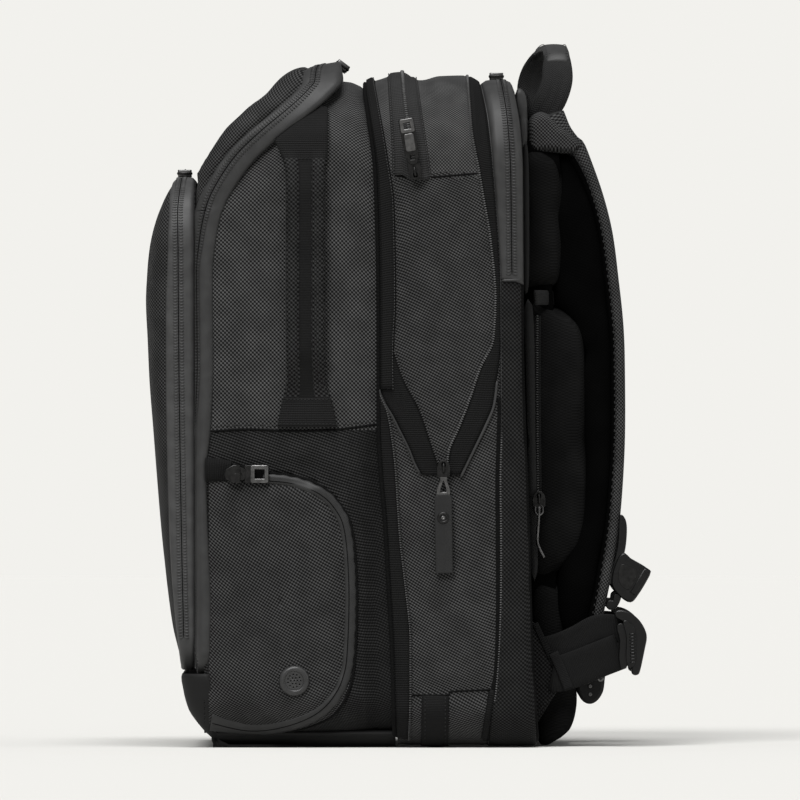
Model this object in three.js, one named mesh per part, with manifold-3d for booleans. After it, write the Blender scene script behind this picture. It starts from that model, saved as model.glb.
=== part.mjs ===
// Travel backpack, standing on its base, with its expansion gusset open.
// Millimetres, +Z up. -Y is the bag's front, +Y its harness side, +X the wearer's right.
// The origin is on the floor, under the middle of the bag.
import * as THREE from 'three';
import { mergeVertices } from 'three/addons/utils/BufferGeometryUtils.js';
import Module from 'manifold-3d';

const wasm = await Module();
wasm.setup();

// Driving dimensions.
const HALF_WIDTH = 165;
const GAP = 0.4; // clearance between neighbouring pieces
const SHELL_WALL = 4;
const GUSSET_WALL = 3;
const TOP_RADIUS = 60; // the bag's shoulders, seen from the front
const BASE_RADIUS = 35;
const ARC_STEPS = 5; // flats in each corner arc

// Heights of the three sections.
const FRONT_TOP = 490;
const FRONT_BOTTOM = 10.4;
const GUSSET_TOP = 493;
const GUSSET_BOTTOM = 1.5;
const REAR_TOP = 488;

// Depths of the seams between the sections.
const FRONT_SEAM_Y = -12.3;
const REACH = 220; // more than half the bag's depth, for cutting solids

// Side views of the pieces, as [y, z] points.
const FRONT_ZIP_LINE = [
  [-138, 50], [-140, 199], [-136, 250], [-135, 347], [-131, 380], [-120, 423],
  [-103, 449], [-84, 466], [-66, 480], [-48, 490],
];
const PANEL_FACE = [
  [-42, 501], [-59, 498.6], [-70, 495.7], [-81, 489], [-94.4, 474.5], [-105, 467],
  [-111, 457.7], [-120, 452.7], [-133, 434.5], [-141.6, 420], [-146.6, 411],
  [-146.6, 150], [-146.2, 56],
];
const POCKET_FACE = [
  [-163, 416], [-175, 392], [-180, 374], [-184.5, 335], [-183, 290], [-179, 233],
  [-172.5, 152], [-164.5, 87], [-160, 60],
];
const REAR_SEAM = [
  [60, 488], [66, 459], [71, 408], [75, 341], [76, 250], [75, 152], [74, 77], [68, 4], [66, 0],
];
const BACK_FACE = [
  [104, 0], [100, 66], [97, 166], [93, 290], [92, 341], [92, 437], [87, 488],
];

// Harness.
const STRAP_X = 72;
const STRAP_HALF_WIDTH = 30;
const STRAP_THICKNESS = 9;
const STRAP_TOP = [106, 463];
const STRAP_TURN = THREE.MathUtils.degToRad(12); // the outer edge stands off the back
const STRAP_SPLAY = THREE.MathUtils.degToRad(-2); // the lower end leans outwards
const ANCHOR_X = 112; // where the lower webbing leaves the bag
const WEBBING_THICKNESS = 3;

// Zip hardware.
const SLIDER = { length: 12, width: 9, height: 5 };
const PULL = { width: 11, thickness: 2, window: 6, rim: 2.5 };

const COLOURS = {
  weave: { color: 0x3a3a3a, roughness: 0.85, metalness: 0 },
  coated: { color: 0x484848, roughness: 0.6, metalness: 0 },
  smooth: { color: 0x1c1c1c, roughness: 0.7, metalness: 0 },
  foam: { color: 0x161616, roughness: 0.95, metalness: 0 },
  webbing: { color: 0x202020, roughness: 0.8, metalness: 0 },
  lining: { color: 0x5a5a5a, roughness: 0.8, metalness: 0 },
  plastic: { color: 0x232323, roughness: 0.5, metalness: 0 },
  metal: { color: 0x2b2b2d, roughness: 0.35, metalness: 1 },
};

const bag = new THREE.Group();
const inYZ = new THREE.Matrix4().makeBasis(
  new THREE.Vector3(0, 1, 0),
  new THREE.Vector3(0, 0, 1),
  new THREE.Vector3(1, 0, 0),
);
const inXZ = new THREE.Matrix4().makeBasis(
  new THREE.Vector3(1, 0, 0),
  new THREE.Vector3(0, 0, 1),
  new THREE.Vector3(0, -1, 0),
);

function toSolid(geometry) {
  const bare = geometry.index ? geometry.toNonIndexed() : geometry.clone();
  bare.deleteAttribute('normal');
  bare.deleteAttribute('uv');
  const merged = mergeVertices(bare, 1e-4);
  const mesh = new wasm.Mesh({
    numProp: 3,
    vertProperties: new Float32Array(merged.attributes.position.array),
    triVerts: new Uint32Array(merged.index.array),
  });
  return new wasm.Manifold(mesh);
}

function toGeometry(manifold) {
  const mesh = manifold.getMesh();
  const geometry = new THREE.BufferGeometry();
  geometry.setAttribute('position', new THREE.BufferAttribute(new Float32Array(mesh.vertProperties), 3));
  geometry.setIndex(new THREE.BufferAttribute(new Uint32Array(mesh.triVerts), 1));
  return geometry;
}

function shapeOf(points) {
  const shape = new THREE.Shape(points.map(([a, b]) => new THREE.Vector2(a, b)));
  return shape;
}

// A side view, as [y, z] points, given a width from x0 to x1.
function sideExtrusion(points, x0, x1, holes = []) {
  const shape = shapeOf(points);
  shape.holes = holes.map((hole) => new THREE.Path(hole.map(([a, b]) => new THREE.Vector2(a, b))));
  const geometry = new THREE.ExtrudeGeometry(shape, { depth: x1 - x0, bevelEnabled: false });
  return geometry.translate(0, 0, x0).applyMatrix4(inYZ);
}

// A front view with rounded corners, given a depth from y0 to y1.
function roundedExtrusion({ half, bottom, top, baseRadius, topRadius }, y0, y1) {
  const shape = new THREE.Shape();
  shape.moveTo(-half + baseRadius, bottom);
  shape.absarc(half - baseRadius, bottom + baseRadius, baseRadius, -Math.PI / 2, 0);
  shape.absarc(half - topRadius, top - topRadius, topRadius, 0, Math.PI / 2);
  shape.absarc(-half + topRadius, top - topRadius, topRadius, Math.PI / 2, Math.PI);
  shape.absarc(-half + baseRadius, bottom + baseRadius, baseRadius, Math.PI, 1.5 * Math.PI);
  const geometry = new THREE.ExtrudeGeometry(shape, {
    depth: y1 - y0,
    bevelEnabled: false,
    curveSegments: ARC_STEPS,
  });
  return geometry.applyMatrix4(inXZ).translate(0, y1, 0);
}

function inset(outline, by) {
  return {
    half: outline.half - by,
    bottom: outline.bottom + by,
    top: outline.top - by,
    baseRadius: outline.baseRadius - by,
    topRadius: outline.topRadius - by,
  };
}

function block(x0, x1, y0, y1, z0, z1) {
  const geometry = new THREE.BoxGeometry(x1 - x0, y1 - y0, z1 - z0);
  return geometry.translate((x0 + x1) / 2, (y0 + y1) / 2, (z0 + z1) / 2);
}

function moved(points, dy, dz = 0) {
  return points.map(([y, z]) => [y + dy, z + dz]);
}

function add(name, geometry, finish, parent = bag) {
  const mesh = new THREE.Mesh(geometry, new THREE.MeshStandardMaterial(COLOURS[finish]));
  mesh.name = name;
  parent.add(mesh);
  return mesh;
}

const sides = [
  { side: 'right', sign: 1 },
  { side: 'left', sign: -1 },
];

// Mirrors a geometry to the wearer's left and keeps its faces pointing out.
function onSide(geometry, sign) {
  if (sign > 0) {
    return geometry;
  }
  const flipped = geometry.index ? geometry.toNonIndexed() : geometry.clone();
  flipped.scale(-1, 1, 1);
  const position = flipped.attributes.position;
  for (let i = 0; i < position.count; i += 3) {
    const a = new THREE.Vector3().fromBufferAttribute(position, i);
    const b = new THREE.Vector3().fromBufferAttribute(position, i + 1);
    position.setXYZ(i, b.x, b.y, b.z);
    position.setXYZ(i + 1, a.x, a.y, a.z);
  }
  return flipped;
}

// ---- Front section: a tube of fabric, open where the front panel closes it ----
const frontOutline = {
  half: HALF_WIDTH, bottom: FRONT_BOTTOM, top: FRONT_TOP, baseRadius: BASE_RADIUS, topRadius: TOP_RADIUS,
};
const POCKET_DOOR = [
  [-136, 15], [-84, 13], [-56, 21], [-38, 36], [-34, 52], [-31, 70], [-30, 118], [-33, 160],
  [-42, 178], [-55, 190.5], [-72, 197.6], [-96, 200], [-136, 200],
];

function frontShell() {
  const ring = toSolid(roundedExtrusion(frontOutline, -REACH, REACH)).subtract(
    toSolid(roundedExtrusion(inset(frontOutline, SHELL_WALL), -REACH - 1, REACH + 1)),
  );
  const side = [
    [-138, FRONT_BOTTOM - 1], ...FRONT_ZIP_LINE, [-48, FRONT_TOP + 1],
    [FRONT_SEAM_Y, FRONT_TOP + 1], [FRONT_SEAM_Y, FRONT_BOTTOM - 1],
  ];
  let shell = ring.intersect(toSolid(sideExtrusion(side.reverse(), -REACH, REACH)));
  for (const { sign } of sides) {
    const hole = sideExtrusion(doorOutline(GAP), HALF_WIDTH - 10, HALF_WIDTH + 10);
    shell = shell.subtract(toSolid(onSide(hole, sign)));
  }
  return toGeometry(shell);
}

// The side pocket's opening, grown outwards from its middle by a margin.
function doorOutline(margin) {
  const middle = [-85, 106];
  return POCKET_DOOR.map(([y, z]) => [
    y + Math.sign(y - middle[0]) * margin,
    z + Math.sign(z - middle[1]) * margin,
  ]);
}

add('front_shell', frontShell(), 'weave');

function baseBoot() {
  const side = [
    [FRONT_SEAM_Y, 0], [FRONT_SEAM_Y, FRONT_BOTTOM - GAP], [-138 - GAP, FRONT_BOTTOM - GAP],
    [-138 - GAP, 53.6], [-156.6, 53.6], [-156, 43], [-152.6, 28.5], [-145.7, 17.5], [-137, 8.3], [-123, 0],
  ];
  const outline = { half: HALF_WIDTH - 2, bottom: 0, top: 200, baseRadius: BASE_RADIUS, topRadius: 10 };
  const boot = toSolid(sideExtrusion(side.reverse(), -REACH, REACH));
  return toGeometry(boot.intersect(toSolid(roundedExtrusion(outline, -REACH, REACH))));
}
add('base_boot', baseBoot(), 'smooth');

const DIVIDER_FLOOR = 20;
const dividerOutline = {
  half: HALF_WIDTH - 7, bottom: DIVIDER_FLOOR, top: FRONT_TOP - 7, baseRadius: BASE_RADIUS - 7, topRadius: TOP_RADIUS - 7,
};
add('compartment_divider', roundedExtrusion(dividerOutline, -18, -15.5), 'lining');

// ---- Side pockets ----
const DOOR_THICKNESS = 3.5;
const LINER = { depth: 24, wall: 2 };
const VENT = { y: -75, z: 49, outer: 11, inner: 6.5, thickness: 1.6 };

function pocketLiner() {
  const outerX = HALF_WIDTH - SHELL_WALL - GAP;
  const outer = toSolid(sideExtrusion(doorOutline(0), outerX - LINER.depth, outerX));
  const inner = toSolid(
    sideExtrusion(doorOutline(-LINER.wall), outerX - LINER.depth + LINER.wall, outerX + 1),
  );
  const bag = outer.subtract(inner);
  const baseRound = toSolid(roundedExtrusion(inset(frontOutline, SHELL_WALL + GAP), -REACH, REACH));
  return toGeometry(bag.intersect(baseRound));
}

function pocketDoor() {
  const slab = toSolid(
    sideExtrusion(doorOutline(0), HALF_WIDTH - DOOR_THICKNESS, HALF_WIDTH),
  );
  return toGeometry(slab.intersect(toSolid(roundedExtrusion(frontOutline, -REACH, REACH))));
}

function ventEyelet() {
  const ring = new THREE.CylinderGeometry(VENT.outer, VENT.outer, VENT.thickness, 20);
  ring.rotateZ(-Math.PI / 2);
  return ring.translate(HALF_WIDTH + GAP + VENT.thickness / 2, VENT.y, VENT.z);
}

for (const { side, sign } of sides) {
  add(`side_pocket_liner_${side}`, onSide(pocketLiner(), sign), 'lining');
  add(`side_pocket_door_${side}`, onSide(pocketDoor(), sign), 'weave');
  add(`vent_eyelet_${side}`, onSide(ventEyelet(), sign), 'plastic');
}

// ---- Side handles: webbing that stands off the side between its two sewn ends ----
const HANDLE_Y = [-80, -54];

function sideHandle() {
  const outer = [
    [168.4, 233], [168.4, 262], [176, 290], [176, 405], [170.5, 431], [167.5, 448], [159.8, 465],
  ];
  const inner = [
    [157, 463], [163.6, 447], [165.8, 431], [172.4, 403], [172.4, 292], [165.4, 264], [165.4, 233],
  ];
  const shape = shapeOf([...outer, ...inner]);
  const depth = HANDLE_Y[1] - HANDLE_Y[0];
  const geometry = new THREE.ExtrudeGeometry(shape, { depth, bevelEnabled: false });
  return geometry.applyMatrix4(inXZ).translate(0, HANDLE_Y[1], 0);
}
for (const { side, sign } of sides) {
  add(`side_handle_${side}`, onSide(sideHandle(), sign), 'webbing');
}

// ---- Front panel: a padded dish that hinges down from the boot ----
const PANEL_BOTTOM = 56;
const PANEL_WALL = 6;
const panelOutline = {
  half: 160, bottom: PANEL_BOTTOM, top: 501, baseRadius: 20, topRadius: 58,
};

function frontPanel() {
  const rim = moved(FRONT_ZIP_LINE, -GAP, GAP);
  rim[0] = [-138 - GAP, PANEL_BOTTOM];
  const side = [...rim, [-42, FRONT_TOP + GAP], ...PANEL_FACE];
  const outer = toSolid(sideExtrusion(side.reverse(), -REACH, REACH)).intersect(
    toSolid(roundedExtrusion(panelOutline, -REACH, REACH)),
  );
  const face = moved(PANEL_FACE, PANEL_WALL, -PANEL_WALL).slice(1, -1);
  const hollow = [
    [0, PANEL_BOTTOM + PANEL_WALL], [0, 495], [-42, 495], ...face, [-140.6, PANEL_BOTTOM + PANEL_WALL],
  ];
  const inner = toSolid(sideExtrusion(hollow, -REACH, REACH)).intersect(
    toSolid(roundedExtrusion(inset(panelOutline, PANEL_WALL), -REACH, REACH)),
  );
  return toGeometry(outer.subtract(inner));
}
add('front_panel', frontPanel(), 'weave');

// ---- Front pocket: a shallow shell on the front panel ----
const POCKET_WALL = 4;
const pocketOutline = { half: 150, bottom: 60, top: 416, baseRadius: 25, topRadius: 50 };
const POCKET_BACK = -147.4;

function frontPocket() {
  const side = [[POCKET_BACK, 60], [POCKET_BACK, 416], ...POCKET_FACE];
  const outer = toSolid(sideExtrusion(side.reverse(), -REACH, REACH)).intersect(
    toSolid(roundedExtrusion(pocketOutline, -REACH, REACH)),
  );
  const face = moved(POCKET_FACE, POCKET_WALL, 0).slice(1, -1);
  const hollow = [[-140, 66], [-140, 410], [-162, 410], ...face, [-157, 66]];
  const inner = toSolid(sideExtrusion(hollow.reverse(), -REACH, REACH)).intersect(
    toSolid(roundedExtrusion(inset(pocketOutline, POCKET_WALL), -REACH, REACH)),
  );
  return toGeometry(outer.subtract(inner));
}
add('front_pocket', frontPocket(), 'weave');

// ---- Expansion gusset: the fabric ring between the front and rear sections ----
const gussetOutline = {
  half: HALF_WIDTH, bottom: GUSSET_BOTTOM, top: GUSSET_TOP, baseRadius: BASE_RADIUS, topRadius: TOP_RADIUS,
};

function gusset() {
  const ring = toSolid(roundedExtrusion(gussetOutline, -REACH, REACH)).subtract(
    toSolid(roundedExtrusion(inset(gussetOutline, GUSSET_WALL), -REACH - 1, REACH + 1)),
  );
  const rear = moved(REAR_SEAM, -GAP);
  rear.unshift([60 - GAP, GUSSET_TOP + 1]);
  const side = [[FRONT_SEAM_Y + GAP, 0], [FRONT_SEAM_Y + GAP, GUSSET_TOP + 1], ...rear];
  return toGeometry(ring.intersect(toSolid(sideExtrusion(side.reverse(), -REACH, REACH))));
}
add('expansion_gusset', gusset(), 'weave');

// The main zip's tape runs over the top of the gusset and part of the way down each side.
const MAIN_TAPE = { y0: -2, y1: 20, bottom: 414, thickness: 1.2 };

function mainTape() {
  const outer = roundedExtrusion(inset(gussetOutline, -GAP - MAIN_TAPE.thickness), MAIN_TAPE.y0, MAIN_TAPE.y1);
  const inner = roundedExtrusion(inset(gussetOutline, -GAP), MAIN_TAPE.y0 - 1, MAIN_TAPE.y1 + 1);
  const keep = block(-REACH, REACH, -REACH, REACH, MAIN_TAPE.bottom, GUSSET_TOP + 10);
  return toGeometry(toSolid(outer).subtract(toSolid(inner)).intersect(toSolid(keep)));
}
add('main_zip_tape', mainTape(), 'smooth');

// ---- Rear section: a dish open to the front, with its stiffeners and the harness ----
const rearOutline = {
  half: HALF_WIDTH, bottom: 0, top: REAR_TOP, baseRadius: BASE_RADIUS, topRadius: TOP_RADIUS,
};

function rearShell() {
  const outer = toSolid(sideExtrusion([...REAR_SEAM, ...BACK_FACE].reverse(), -REACH, REACH)).intersect(
    toSolid(roundedExtrusion(rearOutline, -REACH, REACH)),
  );
  const back = moved(BACK_FACE, -SHELL_WALL);
  const hollow = [[0, REAR_TOP + 1], [0, -1], ...back.map(([y, z]) => [y, z <= 0 ? -1 : z])];
  hollow[hollow.length - 1][1] = REAR_TOP + 1;
  const inner = toSolid(sideExtrusion(hollow, -REACH, REACH)).intersect(
    toSolid(roundedExtrusion(inset(rearOutline, SHELL_WALL), -REACH, REACH)),
  );
  return toGeometry(outer.subtract(inner));
}
add('rear_shell', rearShell(), 'weave');

const LAPTOP_DIVIDER = [[50, 478], [58, 400], [62, 250], [61, 60], [60, 20]];
const FRAME_SHEET = [[85, 470], [87, 430], [87, 341], [88, 290], [92, 166], [95, 66], [97, 14]];

// A sheet that follows a side view, rounded at its corners to fit inside the bag.
function sheetAlong(line, thickness, margin) {
  const side = [...line, ...moved(line, thickness).reverse()];
  const sheet = toSolid(sideExtrusion(side, -REACH, REACH));
  return toGeometry(sheet.intersect(toSolid(roundedExtrusion(inset(rearOutline, margin), -REACH, REACH))));
}
add('laptop_divider', sheetAlong(LAPTOP_DIVIDER, 4, 9), 'lining');
add('frame_sheet', sheetAlong(moved(FRAME_SHEET, -2.2), 1.5, 12), 'plastic');
add('base_board', block(-124, 124, -10, 56, 14.8, 17.3), 'plastic');

// Back pads and yoke, each a side view given a width.
const PADS = {
  yoke: { half: 108, points: [[92.4, 437], [95.8, 440], [95.6, 478], [91, 484], [88, 481]] },
  back_pad_upper: {
    half: 108,
    points: [[92.6, 336], [118.5, 336], [118.5, 418], [113, 434], [104, 435.5], [92.6, 435.5]],
  },
  back_pad_lower: {
    half: 108,
    points: [
      [93.8, 323], [99, 131], [118, 131], [131, 140], [135.5, 174], [135.5, 230], [133, 300], [129, 314], [117, 323],
    ],
  },
  back_pad_base: {
    half: 105,
    points: [
      [99.5, 119], [101, 66], [105, 0], [114, 2], [125, 12], [128.5, 26], [128.5, 39], [122, 60], [121, 119],
    ],
  },
};
for (const [name, pad] of Object.entries(PADS)) {
  add(name, sideExtrusion(pad.points, -pad.half, pad.half), 'foam');
}

// ---- Top grab handle: an arch of padded webbing ----
const ARCH = { half: 37, height: 47, wall: 5, width: 24, lean: THREE.MathUtils.degToRad(-10) };
const ARCH_ROOT = [0, 110, 466];

function archGeometry() {
  const radius = ARCH.half;
  const spring = ARCH.height - radius;
  const shape = new THREE.Shape();
  shape.moveTo(radius, 0);
  shape.lineTo(radius, spring);
  shape.absarc(0, spring, radius, 0, Math.PI);
  shape.lineTo(-radius, 0);
  shape.lineTo(-radius + ARCH.wall, 0);
  shape.lineTo(-radius + ARCH.wall, spring);
  shape.absarc(0, spring, radius - ARCH.wall, Math.PI, 0, true);
  shape.lineTo(radius - ARCH.wall, 0);
  const geometry = new THREE.ExtrudeGeometry(shape, {
    depth: ARCH.width,
    bevelEnabled: false,
    curveSegments: 10,
  });
  return geometry.translate(0, 0, -ARCH.width / 2).applyMatrix4(inXZ);
}
const handleMesh = add('top_handle', archGeometry(), 'webbing');
handleMesh.position.set(...ARCH_ROOT);
handleMesh.rotation.x = ARCH.lean;

// ---- Shoulder straps, drawn in their own frame: y out from the back, z down from the yoke ----
const STRAP_OUTER = [
  [5, 1], [10, -10], [17, -18], [24, -24], [36, -52], [45, -85], [50, -122], [53.5, -155],
  [54.6, -188], [54.4, -244], [50.5, -300], [44, -340], [39, -368], [38.5, -412],
];

function strapGeometry() {
  const inner = moved(STRAP_OUTER, -STRAP_THICKNESS, -1).reverse();
  const shape = [...STRAP_OUTER, [36, -425], [31, -425], ...inner];
  return sideExtrusion(shape.reverse(), -STRAP_HALF_WIDTH, STRAP_HALF_WIDTH);
}

function strapFrame(geometry) {
  geometry.rotateZ(STRAP_TURN);
  geometry.rotateY(STRAP_SPLAY);
  return geometry.translate(STRAP_X, STRAP_TOP[0], STRAP_TOP[1]);
}

const WING = [[104.8, 18], [119, 42], [119, 70], [105.4, 92]];
const WEBBING = [[119.6, 42], [158, 55], [162, 82], [119.6, 70]];
const LADDER_LOCK = [
  [164, 60], [167, 57.7], [176.4, 54], [180, 73.4], [181.8, 81.8], [180, 86], [176, 92.7], [169, 97], [164, 98],
];
const STERNUM_CLIP = [
  [166, 118], [171.5, 106.6], [182, 122], [184.5, 128.7], [169, 140], [168.5, 157], [168, 166], [165.5, 166], [165.5, 140],
];

for (const { side, sign } of sides) {
  add(`shoulder_strap_${side}`, onSide(strapFrame(strapGeometry()), sign), 'foam');
  add(`strap_wing_${side}`, onSide(sideExtrusion(WING, ANCHOR_X, ANCHOR_X + 4), sign), 'weave');
  const webbing = sideExtrusion(WEBBING, ANCHOR_X, ANCHOR_X + WEBBING_THICKNESS);
  add(`strap_webbing_${side}`, onSide(webbing, sign), 'webbing');
  const lock = sideExtrusion(LADDER_LOCK, ANCHOR_X - 14, ANCHOR_X + 14);
  add(`ladder_lock_${side}`, onSide(lock, sign), 'plastic');
  add(`sternum_clip_${side}`, onSide(sideExtrusion(STERNUM_CLIP, 88, 104), sign), 'plastic');
}

// ---- Zips: each has a slider and a pull hinged on the slider ----
// In a zip's own frame, +x is along the zip, +y across it and +z away from the fabric.
function sliderGeometry() {
  const { length, width, height } = SLIDER;
  const side = [
    [-length / 2, 0], [length / 2, 0], [length / 2, height * 0.5], [length / 4, height], [-length / 4, height],
    [-length / 2, height * 0.5],
  ];
  const geometry = new THREE.ExtrudeGeometry(shapeOf(side), { depth: width, bevelEnabled: false });
  return geometry.rotateX(Math.PI / 2).translate(0, width / 2, 0);
}

// A flat pull with a window, lying along -x from the hinge at the origin.
function pullGeometry(length) {
  const half = PULL.width / 2;
  const shape = shapeOf([[-length, -half], [-1, -half], [-1, half], [-length, half]]);
  const end = -length + PULL.rim;
  const hole = new THREE.Path([
    new THREE.Vector2(end, -PULL.window / 2),
    new THREE.Vector2(end, PULL.window / 2),
    new THREE.Vector2(end + PULL.window, PULL.window / 2),
    new THREE.Vector2(end + PULL.window, -PULL.window / 2),
  ]);
  shape.holes = [hole];
  const geometry = new THREE.ExtrudeGeometry(shape, { depth: PULL.thickness, bevelEnabled: false });
  return geometry.translate(0, 0, -PULL.thickness / 2);
}

// Turns a geometry from a zip's own frame to the bag's.
function placed(geometry, at, along, out) {
  const x = new THREE.Vector3(...along).normalize();
  const z = new THREE.Vector3(...out).normalize();
  const y = new THREE.Vector3().crossVectors(z, x);
  const turn = new THREE.Matrix4().makeBasis(x, y, z);
  return geometry.applyMatrix4(turn).translate(...at);
}

// Every pull hangs or lies against x of its own frame, from the hinge.
const ZIPS = {
  main: {
    both: true,
    slider: { at: [167.2, 13, 421], along: [0, 0.17, -1], out: [1, 0, 0] },
    pull: { at: [171.4, 11.8, 427.6], along: [0, 0.17, -1], out: [1, 0, 0], length: 32 },
  },
  expansion: {
    both: true,
    slider: { at: [166, 34, 204], along: [0, 0, 1], out: [1, 0, 0] },
    pull: { at: [168.5, 34, 197], along: [0, 0.02, 1], out: [1, 0, 0], length: 69 },
  },
  side_pocket: {
    both: true,
    slider: { at: [166, -117, 200], along: [0, -1, 0], out: [1, 0, 0] },
    pull: { at: [168.5, -110, 200], along: [0, -1, 0], out: [1, 0, 0], length: 16 },
  },
  front_panel: {
    slider: { at: [26, -41.5, 496], along: [-1, 0, 0], out: [0, 1, 0] },
    pull: { at: [33, -38, 496], along: [-1, 0, 0], out: [0, 1, 0], length: 34 },
  },
  front_pocket: {
    slider: { at: [26, -156, 418], along: [-1, 0, 0], out: [0, 0, 1] },
    pull: { at: [33, -156, 420.5], along: [-1, 0, 0], out: [0, 0, 1], length: 34 },
  },
  laptop: {
    slider: { at: [26, 73, 489], along: [-1, 0, 0], out: [0, 0, 1] },
    pull: { at: [33, 73, 491.8], along: [-1, 0, 0], out: [0, 0, 1], length: 34 },
  },
  back_pocket: {
    slider: { at: [108.6, 104, 181], along: [0, 0, 1], out: [1, 0, 0] },
    pull: { at: [111.6, 104, 174.6], along: [0, 0, 1], out: [1, 0, 0], length: 36 },
  },
};

for (const [name, zip] of Object.entries(ZIPS)) {
  const wanted = zip.both ? sides : [{ side: '', sign: 1 }];
  for (const { side, sign } of wanted) {
    const tail = side ? `_${side}` : '';
    const slider = placed(sliderGeometry(), zip.slider.at, zip.slider.along, zip.slider.out);
    add(`${name}_slider${tail}`, onSide(slider, sign), 'metal');
    const pull = placed(pullGeometry(zip.pull.length), zip.pull.at, zip.pull.along, zip.pull.out);
    add(`${name}_pull${tail}`, onSide(pull, sign), 'metal');
  }
}

export default bag;
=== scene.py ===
"""The travel backpack's looks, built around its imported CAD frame.

Lengths are in millimetres until a mesh is made, unless a comment says metres. x is across the bag, y runs
from its front to its back, and z is up. A surface's s runs once round the bag's outline. A piece that both
sides have is made on the right and mirrored.
"""

import functools
import math

import bmesh
import bpy
import numpy as np
from mathutils import Matrix, Vector


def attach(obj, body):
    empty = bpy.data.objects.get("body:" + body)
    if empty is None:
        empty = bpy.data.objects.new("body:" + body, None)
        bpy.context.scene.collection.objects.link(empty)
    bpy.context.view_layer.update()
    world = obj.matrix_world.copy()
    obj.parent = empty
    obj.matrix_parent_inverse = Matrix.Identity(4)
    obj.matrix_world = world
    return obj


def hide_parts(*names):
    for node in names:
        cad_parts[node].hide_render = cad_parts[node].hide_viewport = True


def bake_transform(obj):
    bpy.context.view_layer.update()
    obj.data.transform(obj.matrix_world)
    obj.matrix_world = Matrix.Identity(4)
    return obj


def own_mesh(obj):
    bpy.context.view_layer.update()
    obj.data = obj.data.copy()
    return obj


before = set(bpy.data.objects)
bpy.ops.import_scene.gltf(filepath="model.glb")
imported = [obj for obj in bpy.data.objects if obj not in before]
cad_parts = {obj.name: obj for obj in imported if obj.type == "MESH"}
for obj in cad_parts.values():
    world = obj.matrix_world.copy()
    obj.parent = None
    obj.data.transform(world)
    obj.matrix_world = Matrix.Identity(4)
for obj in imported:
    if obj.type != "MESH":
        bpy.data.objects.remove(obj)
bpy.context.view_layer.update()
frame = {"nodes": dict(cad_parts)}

MM = 0.001

# ---------------------------------------------------------------- driving sizes
HALF = 161.0  # half the bag's width before its panels puff out
PUFF = 3.6  # how far the front section's side crowns
BASE_RADIUS = 30.0
TOP_RADIUS = 60.0
SEAM_Z = 232.0  # the side seam between the upper and the lower weave
CENTRE = Vector((0, -10, 250))  # a point inside the bag, to tell outward from inward

# Depth (y) of each line on the bag's side, at heights (z).
ZIP_EDGE = {
    30: -138, 50: -138, 106: -137, 152: -139, 199: -140.5, 236: -137, 281: -135.3, 347: -135.6, 372: -133,
    396: -127, 417: -115, 432: -103, 451: -81, 471: -56, 485: -42,
}
TAPE_LEFT = {
    10: -1, 77: -3, 120: -5.5, 166: -8, 200: -11, 232: -12.6, 327: -12.8, 420: -15, 460: -20, 478: -22.6
}
TAPE_RIGHT = {262: -1.6, 289: -2, 327: -0.5, 396: -1.7, 432: -6.6, 485: -16}
COIL_LEFT = {10: 9, 38: 10, 77: 10, 116: 6.6, 152: 2.5, 177: 0.8, 205: -1, 228: -3.7, 246: -7, 258: -12}
REAR_COIL = {
    198: 34.5, 208: 37, 216: 38, 234: 45.6, 256: 54, 277: 61, 298: 70.7, 327: 72.3, 372: 68.6, 402: 63.5,
    423: 60, 449: 55, 491: 51.8
}
REAR_EDGE = {
    196: 45.6, 205: 50, 219: 56.8, 234: 64, 251: 70.8, 269: 73, 290: 75.5, 341: 75, 353: 74.5, 408: 71,
    459: 66, 487: 60.5
}
REAR_SEAM = {
    0: 66, 21: 68, 46: 72.5, 77: 74.8, 122: 76, 152: 75.4, 196: 75.2, 250: 76, 341: 75.4, 408: 71.4,
    459: 66.4, 487: 61
}
LAPTOP_ZIP = {341: 84, 359: 83.7, 420: 83, 456: 80.7, 487: 76}
LAPTOP_REAR = {341: 92.5, 420: 92, 456: 90, 487: 85}
BACK_FACE = {0: 104, 66: 100, 166: 97, 290: 93, 341: 92.6, 437: 92, 487: 86}
V_LEFT_OUT = {196: 26, 200: 17.5, 220: 8, 240: -2, 262: -12.4, 290: -12.4}
V_LEFT_IN = {198: 33.0, 205: 31, 223: 25, 247: 16.8, 270: 4.7, 289: -2}

# Depth of the front panel's and the front pocket's faces, at heights.
PANEL_FACE = {
    56: -146.2, 150: -146.4, 405: -146.6, 413: -145.5, 420: -141.6, 434.5: -133, 452.7: -120, 458: -113.5,
    467: -105, 474.5: -95, 489: -81, 495.7: -70, 498.6: -59, 501: -42,
}
POCKET_FACE = {
    60: -157, 68: -159, 87: -163.8, 108: -167.2, 152: -172.5, 196: -176.3, 233: -179.2, 269: -182,
    305: -183.6, 327: -184.6, 347: -183.4, 374: -180, 390: -175, 404: -169, 412: -164, 416: -160
}
POCKET_BACK_Y = -147.4


# ---------------------------------------------------------------- curves
def smooth(table):
    """A function through a table's points that never overshoots them."""
    xs = np.array(sorted(table), float)
    ys = np.array([table[x] for x in sorted(table)], float)
    steps = np.diff(ys) / np.diff(xs)
    slopes = np.zeros(len(xs))
    for i in range(1, len(xs) - 1):
        a, b = steps[i - 1], steps[i]
        slopes[i] = 0 if a * b <= 0 else 2 * a * b / (a + b)
    slopes[0], slopes[-1] = steps[0], steps[-1]

    def at(x):
        x = min(max(x, xs[0]), xs[-1])
        i = min(int(np.searchsorted(xs, x, side="right")) - 1, len(xs) - 2)
        width = xs[i + 1] - xs[i]
        t = (x - xs[i]) / width
        return float(
            (2 * t**3 - 3 * t**2 + 1) * ys[i]
            + (t**3 - 2 * t**2 + t) * width * slopes[i]
            + (3 * t**2 - 2 * t**3) * ys[i + 1]
            + (t**3 - t**2) * width * slopes[i + 1]
        )

    return at


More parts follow.
